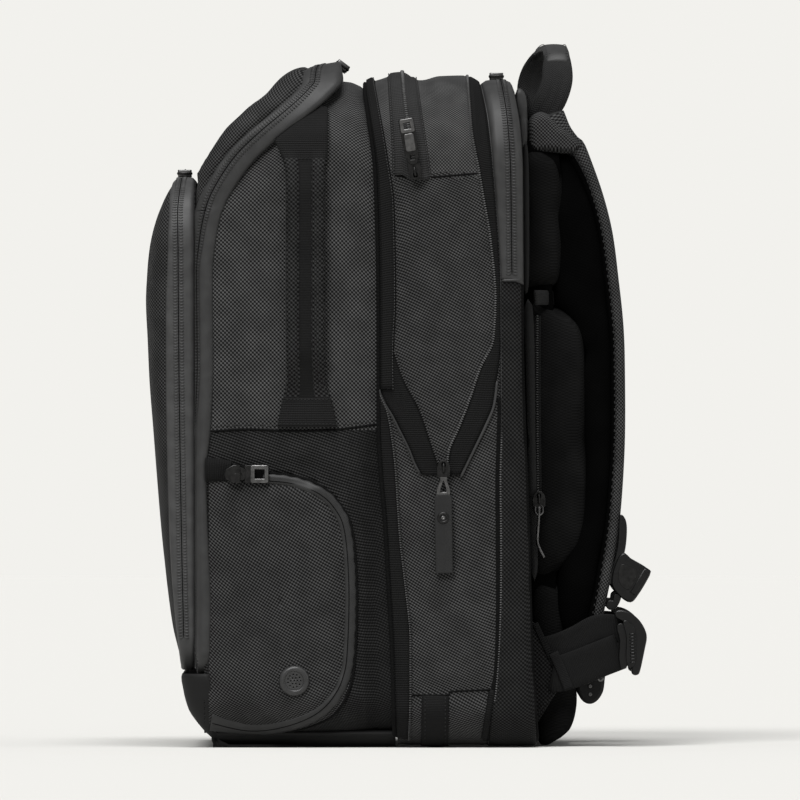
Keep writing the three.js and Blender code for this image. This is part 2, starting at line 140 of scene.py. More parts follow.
def between(a, b, c, d, t):
    """The point a share t of the way from b to c, on a smooth curve through all four."""
    bend = (2 * a - 5 * b + 4 * c - d) * t**2
    return 0.5 * (2 * b + (c - a) * t + bend + (3 * b - a - 3 * c + d) * t**3)


def spline(points, per_span=8, closed=False):
    """A smooth line through the points, as vectors."""
    pts = [Vector(p) for p in points]
    count = len(pts)
    made = []
    for i in range(count if closed else count - 1):
        if closed:
            a, b, c, d = (pts[(i + k) % count] for k in (-1, 0, 1, 2))
        else:
            a, b, c, d = pts[max(i - 1, 0)], pts[i], pts[i + 1], pts[min(i + 2, count - 1)]
        made += [between(a, b, c, d, k / per_span) for k in range(per_span)]
    if not closed:
        made.append(pts[-1])
    return made


def run_lengths(points):
    """The length along a line to each of its points."""
    return np.cumsum([0.0] + [(b - a).length for a, b in zip(points, points[1:])])


def rows_at(rows, lengths, places):
    """The rows of numbers that lie at the places along a line, from those at its lengths."""
    flat = np.array([list(row) for row in rows])
    return [[float(np.interp(x, lengths, column)) for column in flat.T] for x in places]


def even_places(lengths, step):
    """Places about one step apart from end to end."""
    return np.linspace(0, lengths[-1], max(2, round(lengths[-1] / step) + 1))


def spaced(points, step):
    """The same line with its points one step apart."""
    points = [Vector(p) for p in points]
    lengths = run_lengths(points)
    return [Vector(row) for row in rows_at(points, lengths, even_places(lengths, step))]


def span(a, b, count):
    """count numbers from a to b."""
    return [a + (b - a) * i / (count - 1) for i in range(count)]


def ease(t):
    """0 up to t = 0, 1 from t = 1, and a soft step between."""
    t = min(max(t, 0.0), 1.0)
    return t * t * (3 - 2 * t)


# ---------------------------------------------------------------- the bag's outer surface
# Shares of half the outline: bottom, base corner, lower side, upper side, top corner, top.
A1, A2, AM, A3, A4 = 0.164, 0.2354, 0.48, 0.7464, 0.8687


class Skin:
    """A section's outer surface. s runs from 0 under the bag, up the right side, to 1 on top and on to 2."""

    def __init__(self, top, bottom, half=HALF, base_radius=BASE_RADIUS, top_radius=TOP_RADIUS, puff=None):
        self.top, self.bottom, self.half = top, bottom, half
        self.base_radius, self.top_radius = base_radius, top_radius
        self.puff = puff or (lambda y, z: 0.0)

    def hoop(self, s, y, inset=0.0):
        """(x, z) on the outline, and the direction out of it."""
        t = 2 - s if s > 1 else s
        half, bottom, top = self.half - inset, self.bottom + inset, self.top(y) - inset
        rb, rt = max(self.base_radius - inset, 0.5), max(self.top_radius - inset, 0.5)
        if t < A1:
            x, z, nx, nz = (half - rb) * t / A1, bottom, 0, -1
        elif t < A2:
            angle = math.pi / 2 * ((t - A1) / (A2 - A1) - 1)
            nx, nz = math.cos(angle), math.sin(angle)
            x, z = half - rb + rb * nx, bottom + rb + rb * nz
        elif t < AM:
            z = bottom + rb + (SEAM_Z - bottom - rb) * (t - A2) / (AM - A2)
            x, nx, nz = half, 1, 0
        elif t < A3:
            z = SEAM_Z + (top - rt - SEAM_Z) * (t - AM) / (A3 - AM)
            x, nx, nz = half, 1, 0
        elif t < A4:
            angle = math.pi / 2 * (t - A3) / (A4 - A3)
            nx, nz = math.cos(angle), math.sin(angle)
            x, z = half - rt + rt * nx, top - rt + rt * nz
        else:
            x, z, nx, nz = (half - rt) * (1 - t) / (1 - A4), top, 0, 1
        return (-x, z, -nx, nz) if s > 1 else (x, z, nx, nz)

    def at(self, s, y, lift=0.0):
        x, z, nx, nz = self.hoop(s, y)
        out = self.puff(y, z) * abs(nx) + lift
        return Vector((x + nx * out, y, z + nz * out))

    def share(self, y, z):
        """The s at a height on the right side."""
        top, bottom, rb, rt = self.top(y), self.bottom, self.base_radius, self.top_radius
        if z < bottom + rb:
            angle = math.asin(max(-1.0, (z - bottom - rb) / rb))
            return A1 + (A2 - A1) * (1 + angle / (math.pi / 2))
        if z < SEAM_Z:
            return A2 + (AM - A2) * (z - bottom - rb) / (SEAM_Z - bottom - rb)
        if z < top - rt:
            return AM + (A3 - AM) * (z - SEAM_Z) / (top - rt - SEAM_Z)
        angle = math.asin(min(1.0, (z - top + rt) / rt))
        return A3 + (A4 - A3) * angle / (math.pi / 2)

    def side(self, y, z, lift=0.0):
        """The point on the right side at (y, z)."""
        return self.at(self.share(y, z), y, lift)

    def depth(self, table, s):
        """The depth at which a line given by heights crosses the outline at s."""
        y = table(300)
        for _ in range(3):
            y = table(self.hoop(s, y)[1])
        return y


def front_puff(y, z):
    """How far the front section's side stands out of its flat outline."""
    across = min(max((y + 138) / 122, 0), 1)
    crown = (4 * across * (1 - across)) ** 0.6
    seam = 1 - math.exp(-(((z - SEAM_Z) / 13) ** 2))  # held in at the side seam
    sag = 0.8 * math.sin(z / 31 + y / 47) * math.sin(y / 23 + 1)  # loose cloth
    roll = 2.2 * math.exp(-(((y + 14) / 10) ** 2))  # drawn in beside the front tape
    crease = 1.3 * math.exp(
        -(((y + z - 8) / 6) ** 2) - ((z - 26) / 22) ** 2
    )  # a slanting crease at the foot
    track = math.exp(
        -(((z - 200) / 10) ** 4)
    ) * (1 - ease((y + 66) / 12))  # flat where the side pocket's zip runs
    crown += (0.45 - crown) * track
    return PUFF * crown * (0.45 + 0.55 * seam) + (sag * (1 - track) + crease) * crown - roll


def gusset_puff(y, z):
    """How far the gusset's side stands out: held in at its two seams and at the tip of the V."""
    across = min(max((y - 1) / 74, 0), 1)
    crown = (4 * across * (1 - across)) ** 0.6
    height = 3.2 - 2.0 * ease((z - 405) / 40)
    fold = math.exp(-(((z - 418) / 9) ** 2)) + math.exp(-(((z - 41) / 8) ** 2))
    tip = math.exp(-(((z - 205) / 26) ** 2) - ((y - 34) / 15) ** 2)
    wave = 0.5 * math.sin(z / 27 + y / 15)
    return height * crown * (1 - 0.5 * min(fold, 1)) - 2.2 * tip + wave * crown * height / 3.2


def rear_puff(y, z):
    """How far the rear section's side stands out, with a slight ripple."""
    across = min(max((y - 64) / 34, 0), 1)
    return 2.2 * (4 * across * (1 - across)) ** 0.7 + 0.35 * math.sin(z / 34)


FRONT_TOP = smooth({
    -150: 440, -133: 446, -105: 466, -81: 480, -56: 486, -42: 487.5, -35: 487, -27: 484, -21: 480, -12: 480
})
GUSSET_TOP = smooth({
    -22: 485.4, -18: 487.4, -12: 489.2, -3: 492, 4: 492.6, 10: 489, 18: 488.5, 31: 491.5, 48: 492, 55: 489,
    62: 485, 66: 484
})
REAR_TOP = smooth({55: 484, 62: 486, 70: 487.2, 80: 486.5, 88: 483, 96: 476})
front_skin = Skin(FRONT_TOP, 10.4, puff=front_puff)
gusset_skin = Skin(GUSSET_TOP, 2.0, puff=gusset_puff)
seam_skin = Skin(GUSSET_TOP, 1.5, half=HALF + 0.6)  # the seam strips stand just proud of the bag


# ---------------------------------------------------------------- mesh making
# How the cloth lies on the bag, in metres: the height where it turns from under to over and how softly,
# the half width of the front's flat face, and how slowly the cloth passes beyond it.
MID_HEIGHT, TURN_HEIGHT = 0.25, 0.15
FACE_HALF, CORNER_PULL = 0.125, 0.25


def new_mesh(name, verts, faces, finish, cloth=None):
    """An object from points in millimetres. cloth gives each point's place in the fabric, for its weave."""
    mesh = bpy.data.meshes.new(name)
    mesh.from_pydata([[c * MM for c in v] for v in verts], [], faces)
    mesh.validate()
    mesh.polygons.foreach_set("use_smooth", [True] * len(mesh.polygons))
    made = bpy.data.objects.new(name, mesh)
    bpy.context.scene.collection.objects.link(made)
    if cloth is not None:
        set_cloth(mesh, np.array(cloth, np.float32) * MM)
    else:
        lay_cloth(made)
    paint(made, finish)
    return made


def points_of(obj):
    """A piece's points as an array, in metres."""
    return np.array([v.co for v in obj.data.vertices], float)


def set_cloth(mesh, places):
    """Stores each point's place in the fabric, in metres: along, up and deep."""
    layer = mesh.attributes.get("cloth") or mesh.attributes.new("cloth", "FLOAT_VECTOR", "POINT")
    layer.data.foreach_set("vector", np.asarray(places, np.float32).ravel())


def lay_cloth(obj):
    """Gives each point its place in the fabric from where it is: depth along, and round the outline."""
    x, y, z = points_of(obj).T
    inwards = HALF * MM - np.abs(x)
    around = z + inwards * np.clip((z - MID_HEIGHT) / TURN_HEIGHT, -1, 1)
    set_cloth(obj.data, np.stack([y, around, x], 1))


def lay_pad_cloth(obj):
    """Cloth places on a pad: across the back, and up it."""
    x, y, z = points_of(obj).T
    set_cloth(obj.data, np.stack([np.abs(x) * 0.85 + y * 0.5, z, y], 1))


def lay_front_cloth(obj):
    """Cloth places on the front: over the face, then back along the side, and up."""
    x, y, z = points_of(obj).T
    wide = np.abs(x)
    over = np.minimum(wide, FACE_HALF) + CORNER_PULL * np.maximum(wide - FACE_HALF, 0)
    set_cloth(obj.data, np.stack([y + over, z, y], 1))


def paint(obj, finish):
    """Gives a piece one material or several."""
    obj.data.materials.clear()
    for one in finish if isinstance(finish, (list, tuple)) else [finish]:
        obj.data.materials.append(one)


def grid_faces(rows, cols, start, flip, closed):
    """The faces of a grid of points, whose first has the number start."""
    faces = []
    for i in range(rows if closed else rows - 1):
        k = (i + 1) % rows
        for j in range(cols - 1):
            near, far = start + i * cols + j, start + k * cols + j
            quad = (near, near + 1, far + 1, far)
            faces.append(quad[::-1] if flip else quad)
    return faces


def normals(grid, closed):
    """Unit directions square to a grid of points."""
    if closed:
        rows = np.roll(grid, -1, 0) - np.roll(grid, 1, 0)
    else:
        rows = np.gradient(grid, axis=0)
    cols = np.gradient(grid, axis=1)
    n = np.cross(rows, cols)
    length = np.linalg.norm(n, axis=2, keepdims=True)
    return n / np.maximum(length, 1e-9)


def slab(name, surface, aa, bb, finish, lift=0.0, drop=2.0, closed=False, out=None):
    """A closed slab on surface(a, b), in millimetres.

    lift(i, j) of the two shares raises its outer face, and its inner face lies drop under the surface.
    closed joins its last row to its first. out is the outward direction where that isn't away from the bag's
    middle.
    """
    grid = np.array([[list(surface(a, b)) for b in bb] for a in aa], float)
    n = normals(grid, closed)
    middle = grid[len(aa) // 2, len(bb) // 2]
    hint = np.array(out if out is not None else Vector(middle) - CENTRE, float)
    turned = bool(n[len(aa) // 2, len(bb) // 2] @ hint < 0)
    if turned:
        n = -n
    rows, cols = len(aa), len(bb)
    heights = np.zeros((rows, cols, 1))
    for i in range(rows):
        for j in range(cols):
            heights[i, j, 0] = lift(i / (rows - 1), j / (cols - 1)) if callable(lift) else lift
    outer = (grid + n * heights).reshape(-1, 3)
    inner = (grid - n * drop).reshape(-1, 3)
    steps_a = np.linalg.norm(np.diff(grid[:, cols // 2], axis=0), axis=1)
    steps_b = np.linalg.norm(np.diff(grid[rows // 2], axis=0), axis=1)
    u = np.concatenate([[0], np.cumsum(steps_a)])[:, None].repeat(cols, 1)
    v = np.concatenate([[0], np.cumsum(steps_b)])[None, :].repeat(rows, 0)
    cloth = np.stack([v, u, np.zeros_like(u)], 2).reshape(-1, 3)
    count = rows * cols
    faces = grid_faces(rows, cols, 0, not turned, closed) + grid_faces(rows, cols, count, turned, closed)
    rim = []
    for i in range(rows if closed else rows - 1):
        k = (i + 1) % rows
        near, far = i * cols, k * cols
        rim.append((near, far, count + far, count + near))
        near, far = near + cols - 1, far + cols - 1
        rim.append((far, near, count + near, count + far))
    if not closed:
        for j in range(cols - 1):
            rim.append((j + 1, j, count + j, count + j + 1))
            last = (rows - 1) * cols
            rim.append((last + j, last + j + 1, count + last + j + 1, count + last + j))
    if turned:
        rim = [q[::-1] for q in rim]
    faces += [q[::-1] for q in rim]
    verts = np.concatenate([outer, inner])
    return new_mesh(name, verts.tolist(), faces, finish, np.concatenate([cloth, cloth]))


def with_mirror(verts, faces, cloth):
    """Adds the same shape on the wearer's left."""
    count = len(verts)
    other = verts * np.array([-1, 1, 1])
    faces = faces + [tuple(count + k for k in f[::-1]) for f in faces]
    return np.concatenate([verts, other]), faces, np.concatenate([cloth, cloth])


def flipped(obj, name):
    """A copy of a piece on the wearer's left."""
    other = obj.copy()
    other.data = obj.data.copy()
    other.name = name
    other.data.transform(Matrix.Scale(-1, 4, (1, 0, 0)))
    other.data.flip_normals()
    bpy.context.scene.collection.objects.link(other)
    return other


def strip(name, skin, left, right, s0, s1, finish, lift, count=160, across=9, drop=1.0):
    """A band of fabric between two lines that run up and over the bag."""
    a, b = smooth(left), smooth(right)

    def surface(s, v):
        y0, y1 = skin.depth(a, s), skin.depth(b, s)
        return skin.at(s, y0 + (y1 - y0) * v)

    return slab(name, surface, span(s0, s1, count), span(0, 1, across), finish, lift, drop)


def join(name, parts):
    """One object from several, keeping each part's material."""
    verts, faces, slots, cloth, mats = [], [], [], [], []
    for piece in parts:
        start = len(verts)
        mesh = piece.data
        verts += [piece.matrix_world @ v.co for v in mesh.vertices]
        places = np.zeros(len(mesh.vertices) * 3, np.float32)
        layer = mesh.attributes.get("cloth")
        if layer:
            layer.data.foreach_get("vector", places)
        cloth.append(places)
        index = []
        for m in mesh.materials:
            if m not in mats:
                mats.append(m)
            index.append(mats.index(m))
        for p in mesh.polygons:
            faces.append([start + k for k in p.vertices])
            slots.append(index[p.material_index] if index else 0)
    mesh = bpy.data.meshes.new(name)
    mesh.from_pydata(verts, [], faces)
    for m in mats:
        mesh.materials.append(m)
    mesh.polygons.foreach_set("material_index", slots)
    mesh.polygons.foreach_set("use_smooth", [True] * len(faces))
    set_cloth(mesh, np.concatenate(cloth))
    for piece in parts:
        bpy.data.objects.remove(piece)
    made = bpy.data.objects.new(name, mesh)
    bpy.context.scene.collection.objects.link(made)
    return made


def baked(obj):
    """The piece with its modifiers applied."""
    graph = bpy.context.evaluated_depsgraph_get()
    mesh = bpy.data.meshes.new_from_object(
        obj.evaluated_get(graph), preserve_all_data_layers=True, depsgraph=graph
    )
    made = bpy.data.objects.new(obj.name + ".baked", mesh)
    made.matrix_world = obj.matrix_world
    bpy.context.scene.collection.objects.link(made)
    name = obj.name
    bpy.data.objects.remove(obj)
    made.name = name
    return made


# ---------------------------------------------------------------- small parts set along a line
def frames(points, outs):
    """(place, along, across, out) at each point of a line, from the directions out of the surface."""
    made = []
    for i, p in enumerate(points):
        ahead = points[min(i + 1, len(points) - 1)] - points[max(i - 1, 0)]
        along = ahead.normalized()
        out = outs[i] - along * outs[i].dot(along)
        out.normalize()
        made.append((p, along, out.cross(along), out))
    return made


def respaced(spots, outs, step):
    """Frames one step apart along a line, from its places and the directions out of the surface."""
    lengths = run_lengths(spots)
    rows = rows_at([(*p, *n) for p, n in zip(spots, outs)], lengths, even_places(lengths, step))
    return frames([Vector(r[:3]) for r in rows], [Vector(r[3:]) for r in rows])


def surface_line(skin, points, step, lift=0.0, smooth_by=6):
    """Frames along a line on the right side, from its (y, z) points."""
    line = spaced(spline([(y, z, 0) for y, z in points], smooth_by), step)
    spots = [skin.side(p[0], p[1], lift) for p in line]
    outs = [(skin.side(p[0], p[1], 1) - skin.side(p[0], p[1], 0)) for p in line]
    return frames(spots, outs)


def table_line(skin, table, s0, s1, step, lift=0.0, shift=0.0):
    """Frames along a line that runs up and over the bag, from its table of depths."""
    line = smooth(table)
    spots, outs = [], []
    for s in span(s0, s1, 240):
        y = skin.depth(line, s) + shift
        spots.append(skin.at(s, y, lift))
        outs.append(skin.at(s, y, 1) - skin.at(s, y, 0))
    return respaced(spots, outs, step)


LUMP = [(math.cos(k * math.pi / 3), math.sin(k * math.pi / 3)) for k in range(6)]
# Each of a grain's rings: its place along the grain, and its share of the width.
LUMP_RINGS = ((-0.36, 0.78), (0.0, 1.0), (0.36, 0.78))


def lumps(name, spots, size, finish, offset=(0, 0, 0), mirror=False):
    """Rounded grains such as stitches and teeth, one at each frame, by length, width and height."""
    length, width, height = size
    verts, faces = [], []
    for place, along, across, out in spots:
        centre = place + along * offset[0] + across * offset[1] + out * offset[2]
        long = along.normalized()
        wide = out.cross(long)
        start = len(verts)
        verts.append(centre - long * length / 2)
        for reach, share in LUMP_RINGS:
            for a, b in LUMP:
                side = wide * a * width / 2 * share
                verts.append(centre + long * length * reach + side + out * b * height / 2 * share)
        verts.append(centre + long * length / 2)
        for k in range(6):
            n = (k + 1) % 6
            faces.append((start, start + 1 + n, start + 1 + k))
            faces.append((start + 1 + k, start + 1 + n, start + 7 + n, start + 7 + k))
            faces.append((start + 7 + k, start + 7 + n, start + 13 + n, start + 13 + k))
            faces.append((start + 13 + k, start + 13 + n, start + 19))
    verts = np.array([list(v) for v in verts])
    cloth = np.zeros_like(verts)
    if mirror:
        verts, faces, cloth = with_mirror(verts, faces, cloth)
    return new_mesh(name, verts.tolist(), faces, finish, cloth)


def tube_faces(rows, ring):
    """The faces of a tube of rows, each a ring of points, with both ends closed."""
    faces = []
    for i in range(rows - 1):
        for k in range(ring):
            n = (k + 1) % ring
            faces.append((i * ring + k, i * ring + n, (i + 1) * ring + n, (i + 1) * ring + k))
    last = (rows - 1) * ring
    return faces + [tuple(range(ring))[::-1], tuple(last + k for k in range(ring))]


def cord_along(name, spots, radius, finish, offset=(0, 0, 0), sides=8, mirror=False):
    """A round piping that follows the frames, with its ends drawn in."""
    verts = []
    count = len(spots)
    for i, (place, _, across, out) in enumerate(spots):
        end = 0.4 if i in (0, count - 1) else 1.0
        centre = place + across * offset[1] + out * offset[2]
        for k in range(sides):
            angle = 2 * math.pi * k / sides
            verts.append(centre + (across * math.cos(angle) + out * math.sin(angle)) * radius * end)
    faces = tube_faces(count, sides)
    verts = np.array([list(v) for v in verts])
    cloth = np.zeros_like(verts)
    steps = np.cumsum([0.0] + [(b[0] - a[0]).length for a, b in zip(spots, spots[1:])])
    cloth[:, 1] = np.repeat(steps, sides)
    cloth[:, 0] = np.tile(np.arange(sides) * radius * 0.8, count)
    if mirror:
        verts, faces, cloth = with_mirror(verts, faces, cloth)
    return new_mesh(name, verts.tolist(), faces, finish, cloth)


def sweep(name, spots, section, finish, scale=None):
    """A closed section of (across, out) points carried along the frames."""
    verts = []
    ring = len(section)
    for i, (place, _, across, out) in enumerate(spots):
        grow = scale(i / (len(spots) - 1)) if scale else (1, 1)
        verts += [place + across * a * grow[0] + out * b * grow[1] for a, b in section]
    edges = np.cumsum([0.0] + [math.dist(section[k], section[k + 1]) for k in range(ring - 1)])
    steps = np.cumsum([0.0] + [(b[0] - a[0]).length for a, b in zip(spots, spots[1:])])
    cloth = np.stack([np.tile(edges, len(spots)), np.repeat(steps, ring), np.zeros(len(verts))], 1)
    return new_mesh(name, verts, tube_faces(len(spots), ring), finish, cloth)


def flat_section(width, height, bulge=0.0, per_side=7, round_edge=4):
    """A flat strap's section with rounded edges: (across, out) points, anticlockwise."""
    half, r = width / 2, height / 2
    points = []
    for k in range(per_side):
        t = k / (per_side - 1) * 2 - 1
        points.append((t * (half - r), -r - bulge * (1 - t * t)))
    for k in range(1, round_edge):
        angle = -math.pi / 2 + math.pi * k / round_edge
        points.append((half - r + r * math.cos(angle), r * math.sin(angle)))
    for k in range(per_side):
        t = 1 - k / (per_side - 1) * 2
        points.append((t * (half - r), r + bulge * (1 - t * t)))
    for k in range(1, round_edge):
        angle = math.pi / 2 + math.pi * k / round_edge
        points.append((-half + r + r * math.cos(angle), r * math.sin(angle)))
    return points


def plate(name, loops, thickness, finish, bevel=0.3, matrix=None):
    """A flat plate from its outline and the outlines of its holes, lying in xy with its middle at z 0."""
    curve = bpy.data.curves.new(name, "CURVE")
    curve.dimensions = "2D"
    curve.fill_mode = "BOTH"
    curve.extrude = (thickness / 2 - bevel) * MM
    curve.bevel_depth = bevel * MM
    curve.bevel_resolution = 1
    for loop in loops:
        line = curve.splines.new("POLY")
        line.points.add(len(loop) - 1)
        for point, (a, b) in zip(line.points, loop):
            point.co = (a * MM, b * MM, 0, 1)
        line.use_cyclic_u = True
    made = bpy.data.objects.new(name, curve)
    bpy.context.scene.collection.objects.link(made)
    bpy.context.view_layer.update()
    made = baked(made)
    if matrix:
        made.data.transform(scaled(matrix))
    lay_cloth(made)
    paint(made, finish)
    return made


def scaled(matrix):
    """A placement matrix in millimetres, as one in metres."""
    other = matrix.copy()
    other.translation = matrix.translation * MM
    return other


def rounded_box(x0, y0, x1, y1, radius, steps=4):
    """A rectangle's outline with round corners."""
    points = []
    x0, y0, x1, y1 = x0 + radius, y0 + radius, x1 - radius, y1 - radius
    for x, y, start in ((x1, y1, 0), (x0, y1, 90), (x0, y0, 180), (x1, y0, 270)):
        for k in range(steps + 1):
            angle = math.radians(start + 90 * k / steps)
            points.append((x + radius * math.cos(angle), y + radius * math.sin(angle)))
    return points


def fix_normals(obj):
    """Turns a piece's faces outward."""
    bm = bmesh.new()
    bm.from_mesh(obj.data)
    bmesh.ops.recalc_face_normals(bm, faces=bm.faces)
    bm.to_mesh(obj.data)
    bm.free()


def ring_piece(name, place, profile, finish, steps=48):
    """A turned ring from its (radius, height) profile, about z of a placement."""
    verts, faces = [], []
    count = len(profile)
    for k in range(steps):
        angle = 2 * math.pi * k / steps
        for radius, height in profile:
            verts.append(place @ Vector((radius * math.cos(angle), radius * math.sin(angle), height)))
    for k in range(steps):
        n = (k + 1) % steps
        for j in range(count):
            m = (j + 1) % count
            faces.append((k * count + j, k * count + m, n * count + m, n * count + j))
    made = new_mesh(name, verts, faces, finish)
    fix_normals(made)
    return made


def circle(x, y, radius, steps):
    """A round outline."""
    angles = [2 * math.pi * k / steps for k in range(steps)]
    return [(x + radius * math.cos(a), y + radius * math.sin(a)) for a in angles]


def basis(at, along, out):
    """A placement: x along, z out, origin at the point, in millimetres."""
    x = Vector(along).normalized()
    z = Vector(out).normalized()
    z = (z - x * z.dot(x)).normalized()
    y = z.cross(x)
    return Matrix.Translation(Vector(at)) @ Matrix((x, y, z)).transposed().to_4x4()


# ---------------------------------------------------------------- materials
def grey(level, warmth=0.0):
    """A neutral colour from its level on screen, 0 to 255."""
    linear = ((level / 255 + 0.055) / 1.055) ** 2.4
    return (linear * (1 + warmth), linear, linear * (1 - warmth), 1)


class Nodes:
    """A material's node tree, built by short calls that return sockets."""

    def __init__(self, name, roughness, metallic=0.0, specular=0.5):
        self.material = bpy.data.materials.new(name)
        self.material.use_nodes = True
        self.tree = self.material.node_tree
        self.shader = self.tree.nodes["Principled BSDF"]
        self.shader.inputs["Roughness"].default_value = roughness
        self.shader.inputs["Metallic"].default_value = metallic
        self.shader.inputs["Specular IOR Level"].default_value = specular

    def new(self, kind, inputs=None, **settings):
        node = self.tree.nodes.new(kind)
        for key, value in settings.items():
            setattr(node, key, value)
        for key, value in (inputs or {}).items():
            if isinstance(value, bpy.types.NodeSocket):
                self.tree.links.new(value, node.inputs[key])
            else:
                node.inputs[key].default_value = value
        return node

    def math(self, operation, a, b=0.0):
        return self.new("ShaderNodeMath", {0: a, 1: b}, operation=operation).outputs[0]

    def cloth(self):
        """The point's place in the fabric: two sockets, in metres."""
        place = self.new("ShaderNodeAttribute", attribute_name="cloth").outputs["Vector"]
        split = self.new("ShaderNodeSeparateXYZ", {0: place}).outputs
        return split[0], split[1]

    def wave(self, value, pitch):
        """A sine along a length, with one turn each pitch millimetres."""
        turns = self.math("MULTIPLY", value, 2 * math.pi / (pitch * MM))
        return self.math("SINE", turns)

    def noise(self, size, detail=2.0):
        """Soft noise of about that size in millimetres, fixed to the object."""
        place = self.new("ShaderNodeTexCoord").outputs["Object"]
        inputs = {"Vector": place, "Scale": 1 / (size * MM), "Detail": detail}
        return self.new("ShaderNodeTexNoise", inputs).outputs["Fac"]

    def ramp(self, value, low, high, dark, light):
        """A colour that goes from dark to light as value goes from low to high."""
        share = self.new(
            "ShaderNodeMapRange", {"Value": value, "From Min": low, "From Max": high}
        ).outputs[0]
        mix = self.new("ShaderNodeMix", {"Factor": share}, data_type="RGBA")
        mix.inputs["A"].default_value = dark
        mix.inputs["B"].default_value = light
        return mix.outputs["Result"]

    def shade(self, colour, amount, size=18.0):
        """The colour, made a little lighter and darker in broad soft patches."""
        spread = {"From Min": 0.35, "From Max": 0.65, "To Min": 1 - amount, "To Max": 1 + amount}
        factor = self.new("ShaderNodeMapRange", {"Value": self.noise(size), **spread}).outputs[0]
        scale = self.new("ShaderNodeVectorMath", {0: colour, "Scale": factor}, operation="SCALE")
        return scale.outputs[0]

    def finish(self, colour, height, depth, strength):
        """Joins the colour, and a height in depth millimetres, to the shader."""
        self.tree.links.new(colour, self.shader.inputs["Base Color"])
        bump = self.new("ShaderNodeBump", {"Height": height, "Strength": strength, "Distance": depth * MM})
        self.tree.links.new(bump.outputs[0], self.shader.inputs["Normal"])
        return self.material


def weave(name, level, pitch, contrast=1.0, slant=0.3, turn=0.0, depth=0.25):
    """A ballistic weave: yarns that cross over and under, with a slight twill slant."""
    n = Nodes(name, 0.7, specular=0.1)
    u, v = n.cloth()
    if turn:
        a, b = math.cos(turn), math.sin(turn)
        u, v = (
            n.math("ADD", n.math("MULTIPLY", u, a), n.math("MULTIPLY", v, b)),
            n.math("SUBTRACT", n.math("MULTIPLY", v, a), n.math("MULTIPLY", u, b)),
        )
    over = n.math("MULTIPLY", n.wave(u, pitch), n.wave(v, pitch))
    twill = n.wave(n.math("ADD", u, v), pitch)
    height = n.math("ADD", over, n.math("MULTIPLY", twill, slant))
    colour = n.ramp(
        height, -0.5, 1.0, grey(level * (1 - 0.95 * contrast)), grey(level * (1 + 1.2 * contrast))
    )
    return n.finish(n.shade(colour, 0.16), height, depth, 0.6)


def coated(name, level, roughness=0.5):
    """Rubber-coated fabric: smooth, with a fine grain and soft wear."""
    n = Nodes(name, roughness, specular=0.3)
    grain = n.noise(0.5, 3)
    colour = n.ramp(n.noise(9, 4), 0.3, 0.7, grey(level * 0.9), grey(level * 1.1))
    return n.finish(n.shade(colour, 0.08, size=40), grain, 0.05, 0.35)


def ribbed(name, level, pitch, roughness=0.75, depth=0.25, chevron=False, contrast=1.0):
    """Grosgrain tape or webbing: ribs across it, or a herringbone of them."""
    n = Nodes(name, roughness, specular=0.15)
    u, v = n.cloth()
    if chevron:
        fold = n.math("PINGPONG", u, 3 * MM)
        v = n.math("ADD", v, n.math("MULTIPLY", fold, 0.9))
    ribs = n.wave(v, pitch)
    yarn = n.wave(u, pitch * 0.7)
    height = n.math("ADD", ribs, n.math("MULTIPLY", yarn, 0.35))
    colour = n.ramp(
        height, -1.2, 1.2, grey(level * (1 - 0.5 * contrast)), grey(level * (1 + 0.4 * contrast))
    )
    return n.finish(n.shade(colour, 0.1), height, depth, 0.6)


def mesh_foam(name, level):
    """Spacer mesh over foam: small dark cells."""
    n = Nodes(name, 0.95, specular=0.02)
    u, v = n.cloth()
    cells = n.math("MULTIPLY", n.wave(u, 2.6), n.wave(v, 2.2))
    fuzz = n.noise(0.8, 3)
    height = n.math("ADD", cells, fuzz)
    colour = n.ramp(height, -0.2, 1.2, grey(level * 0.82), grey(level * 1.15))
    return n.finish(n.shade(colour, 0.2, size=30), height, 0.2, 0.5)


def plastic(name, level, roughness=0.42):
    """Moulded plastic with a fine grain."""
    n = Nodes(name, roughness, specular=0.32)
    grain = n.noise(0.35, 2)
    colour = n.ramp(n.noise(6, 3), 0.3, 0.7, grey(level * 0.9), grey(level * 1.12))
    return n.finish(colour, grain, 0.03, 0.4)


def metal(name, level, roughness=0.36):
    """Coated metal with fine scratches."""
    n = Nodes(name, roughness, metallic=1.0)
    scratches = n.noise(0.6, 4)
    colour = n.ramp(n.noise(3, 4), 0.3, 0.7, grey(level * 0.85, 0.01), grey(level * 1.15, 0.01))
    return n.finish(colour, scratches, 0.02, 0.4)


WEAVE = weave("shell_weave", 39, 2.9)
WEAVE_LOW = weave("lower_weave", 22, 2.8, slant=0.8, turn=0.45)
# Painted shade: darker copies of the lower weave colour the lower side panel in steps towards its rear seam,
# where the cloth falls into shade.
WEAVE_PAINTED_SHADE = [
    weave(f"lower_weave_{k}", level, 2.8, slant=0.8, turn=0.45) for k, level in enumerate((20, 18, 15.5))
]
WEAVE_DOOR = weave("door_weave", 32, 2.8, slant=0.5, turn=0.25)
WEAVE_GUSSET = weave("gusset_weave", 35, 2.7, contrast=0.9, slant=0.7, turn=0.3)
WEAVE_REAR = weave("rear_weave", 19, 3.0)
WEAVE_FRONT = weave("front_weave", 31, 2.7, contrast=0.9)
WEAVE_FINE = weave("fine_weave", 50, 2.4, contrast=0.6, depth=0.12)
RIDGE_WEAVE = weave("ridge_weave", 34, 2.7, contrast=0.9)
STRAP_EDGE = weave("strap_edge_weave", 38, 2.6, contrast=0.8)
COATED = coated("coated_band", 47)
COATED_DARK = coated("coated_dark", 38)
COATED_LIGHT = coated("coated_light", 50)
TAPE = ribbed("zip_tape", 10, 1.7)
WEBBING = ribbed("strap_webbing", 14, 1.2, depth=0.12, contrast=0.4)
WEBBING_LIGHT = ribbed("grip_webbing", 34, 1.6, contrast=0.7, chevron=True)
HANDLE_EDGE = weave("handle_edge_weave", 24, 3.2)
SMOOTH = coated("smooth_lining", 12, 0.7)
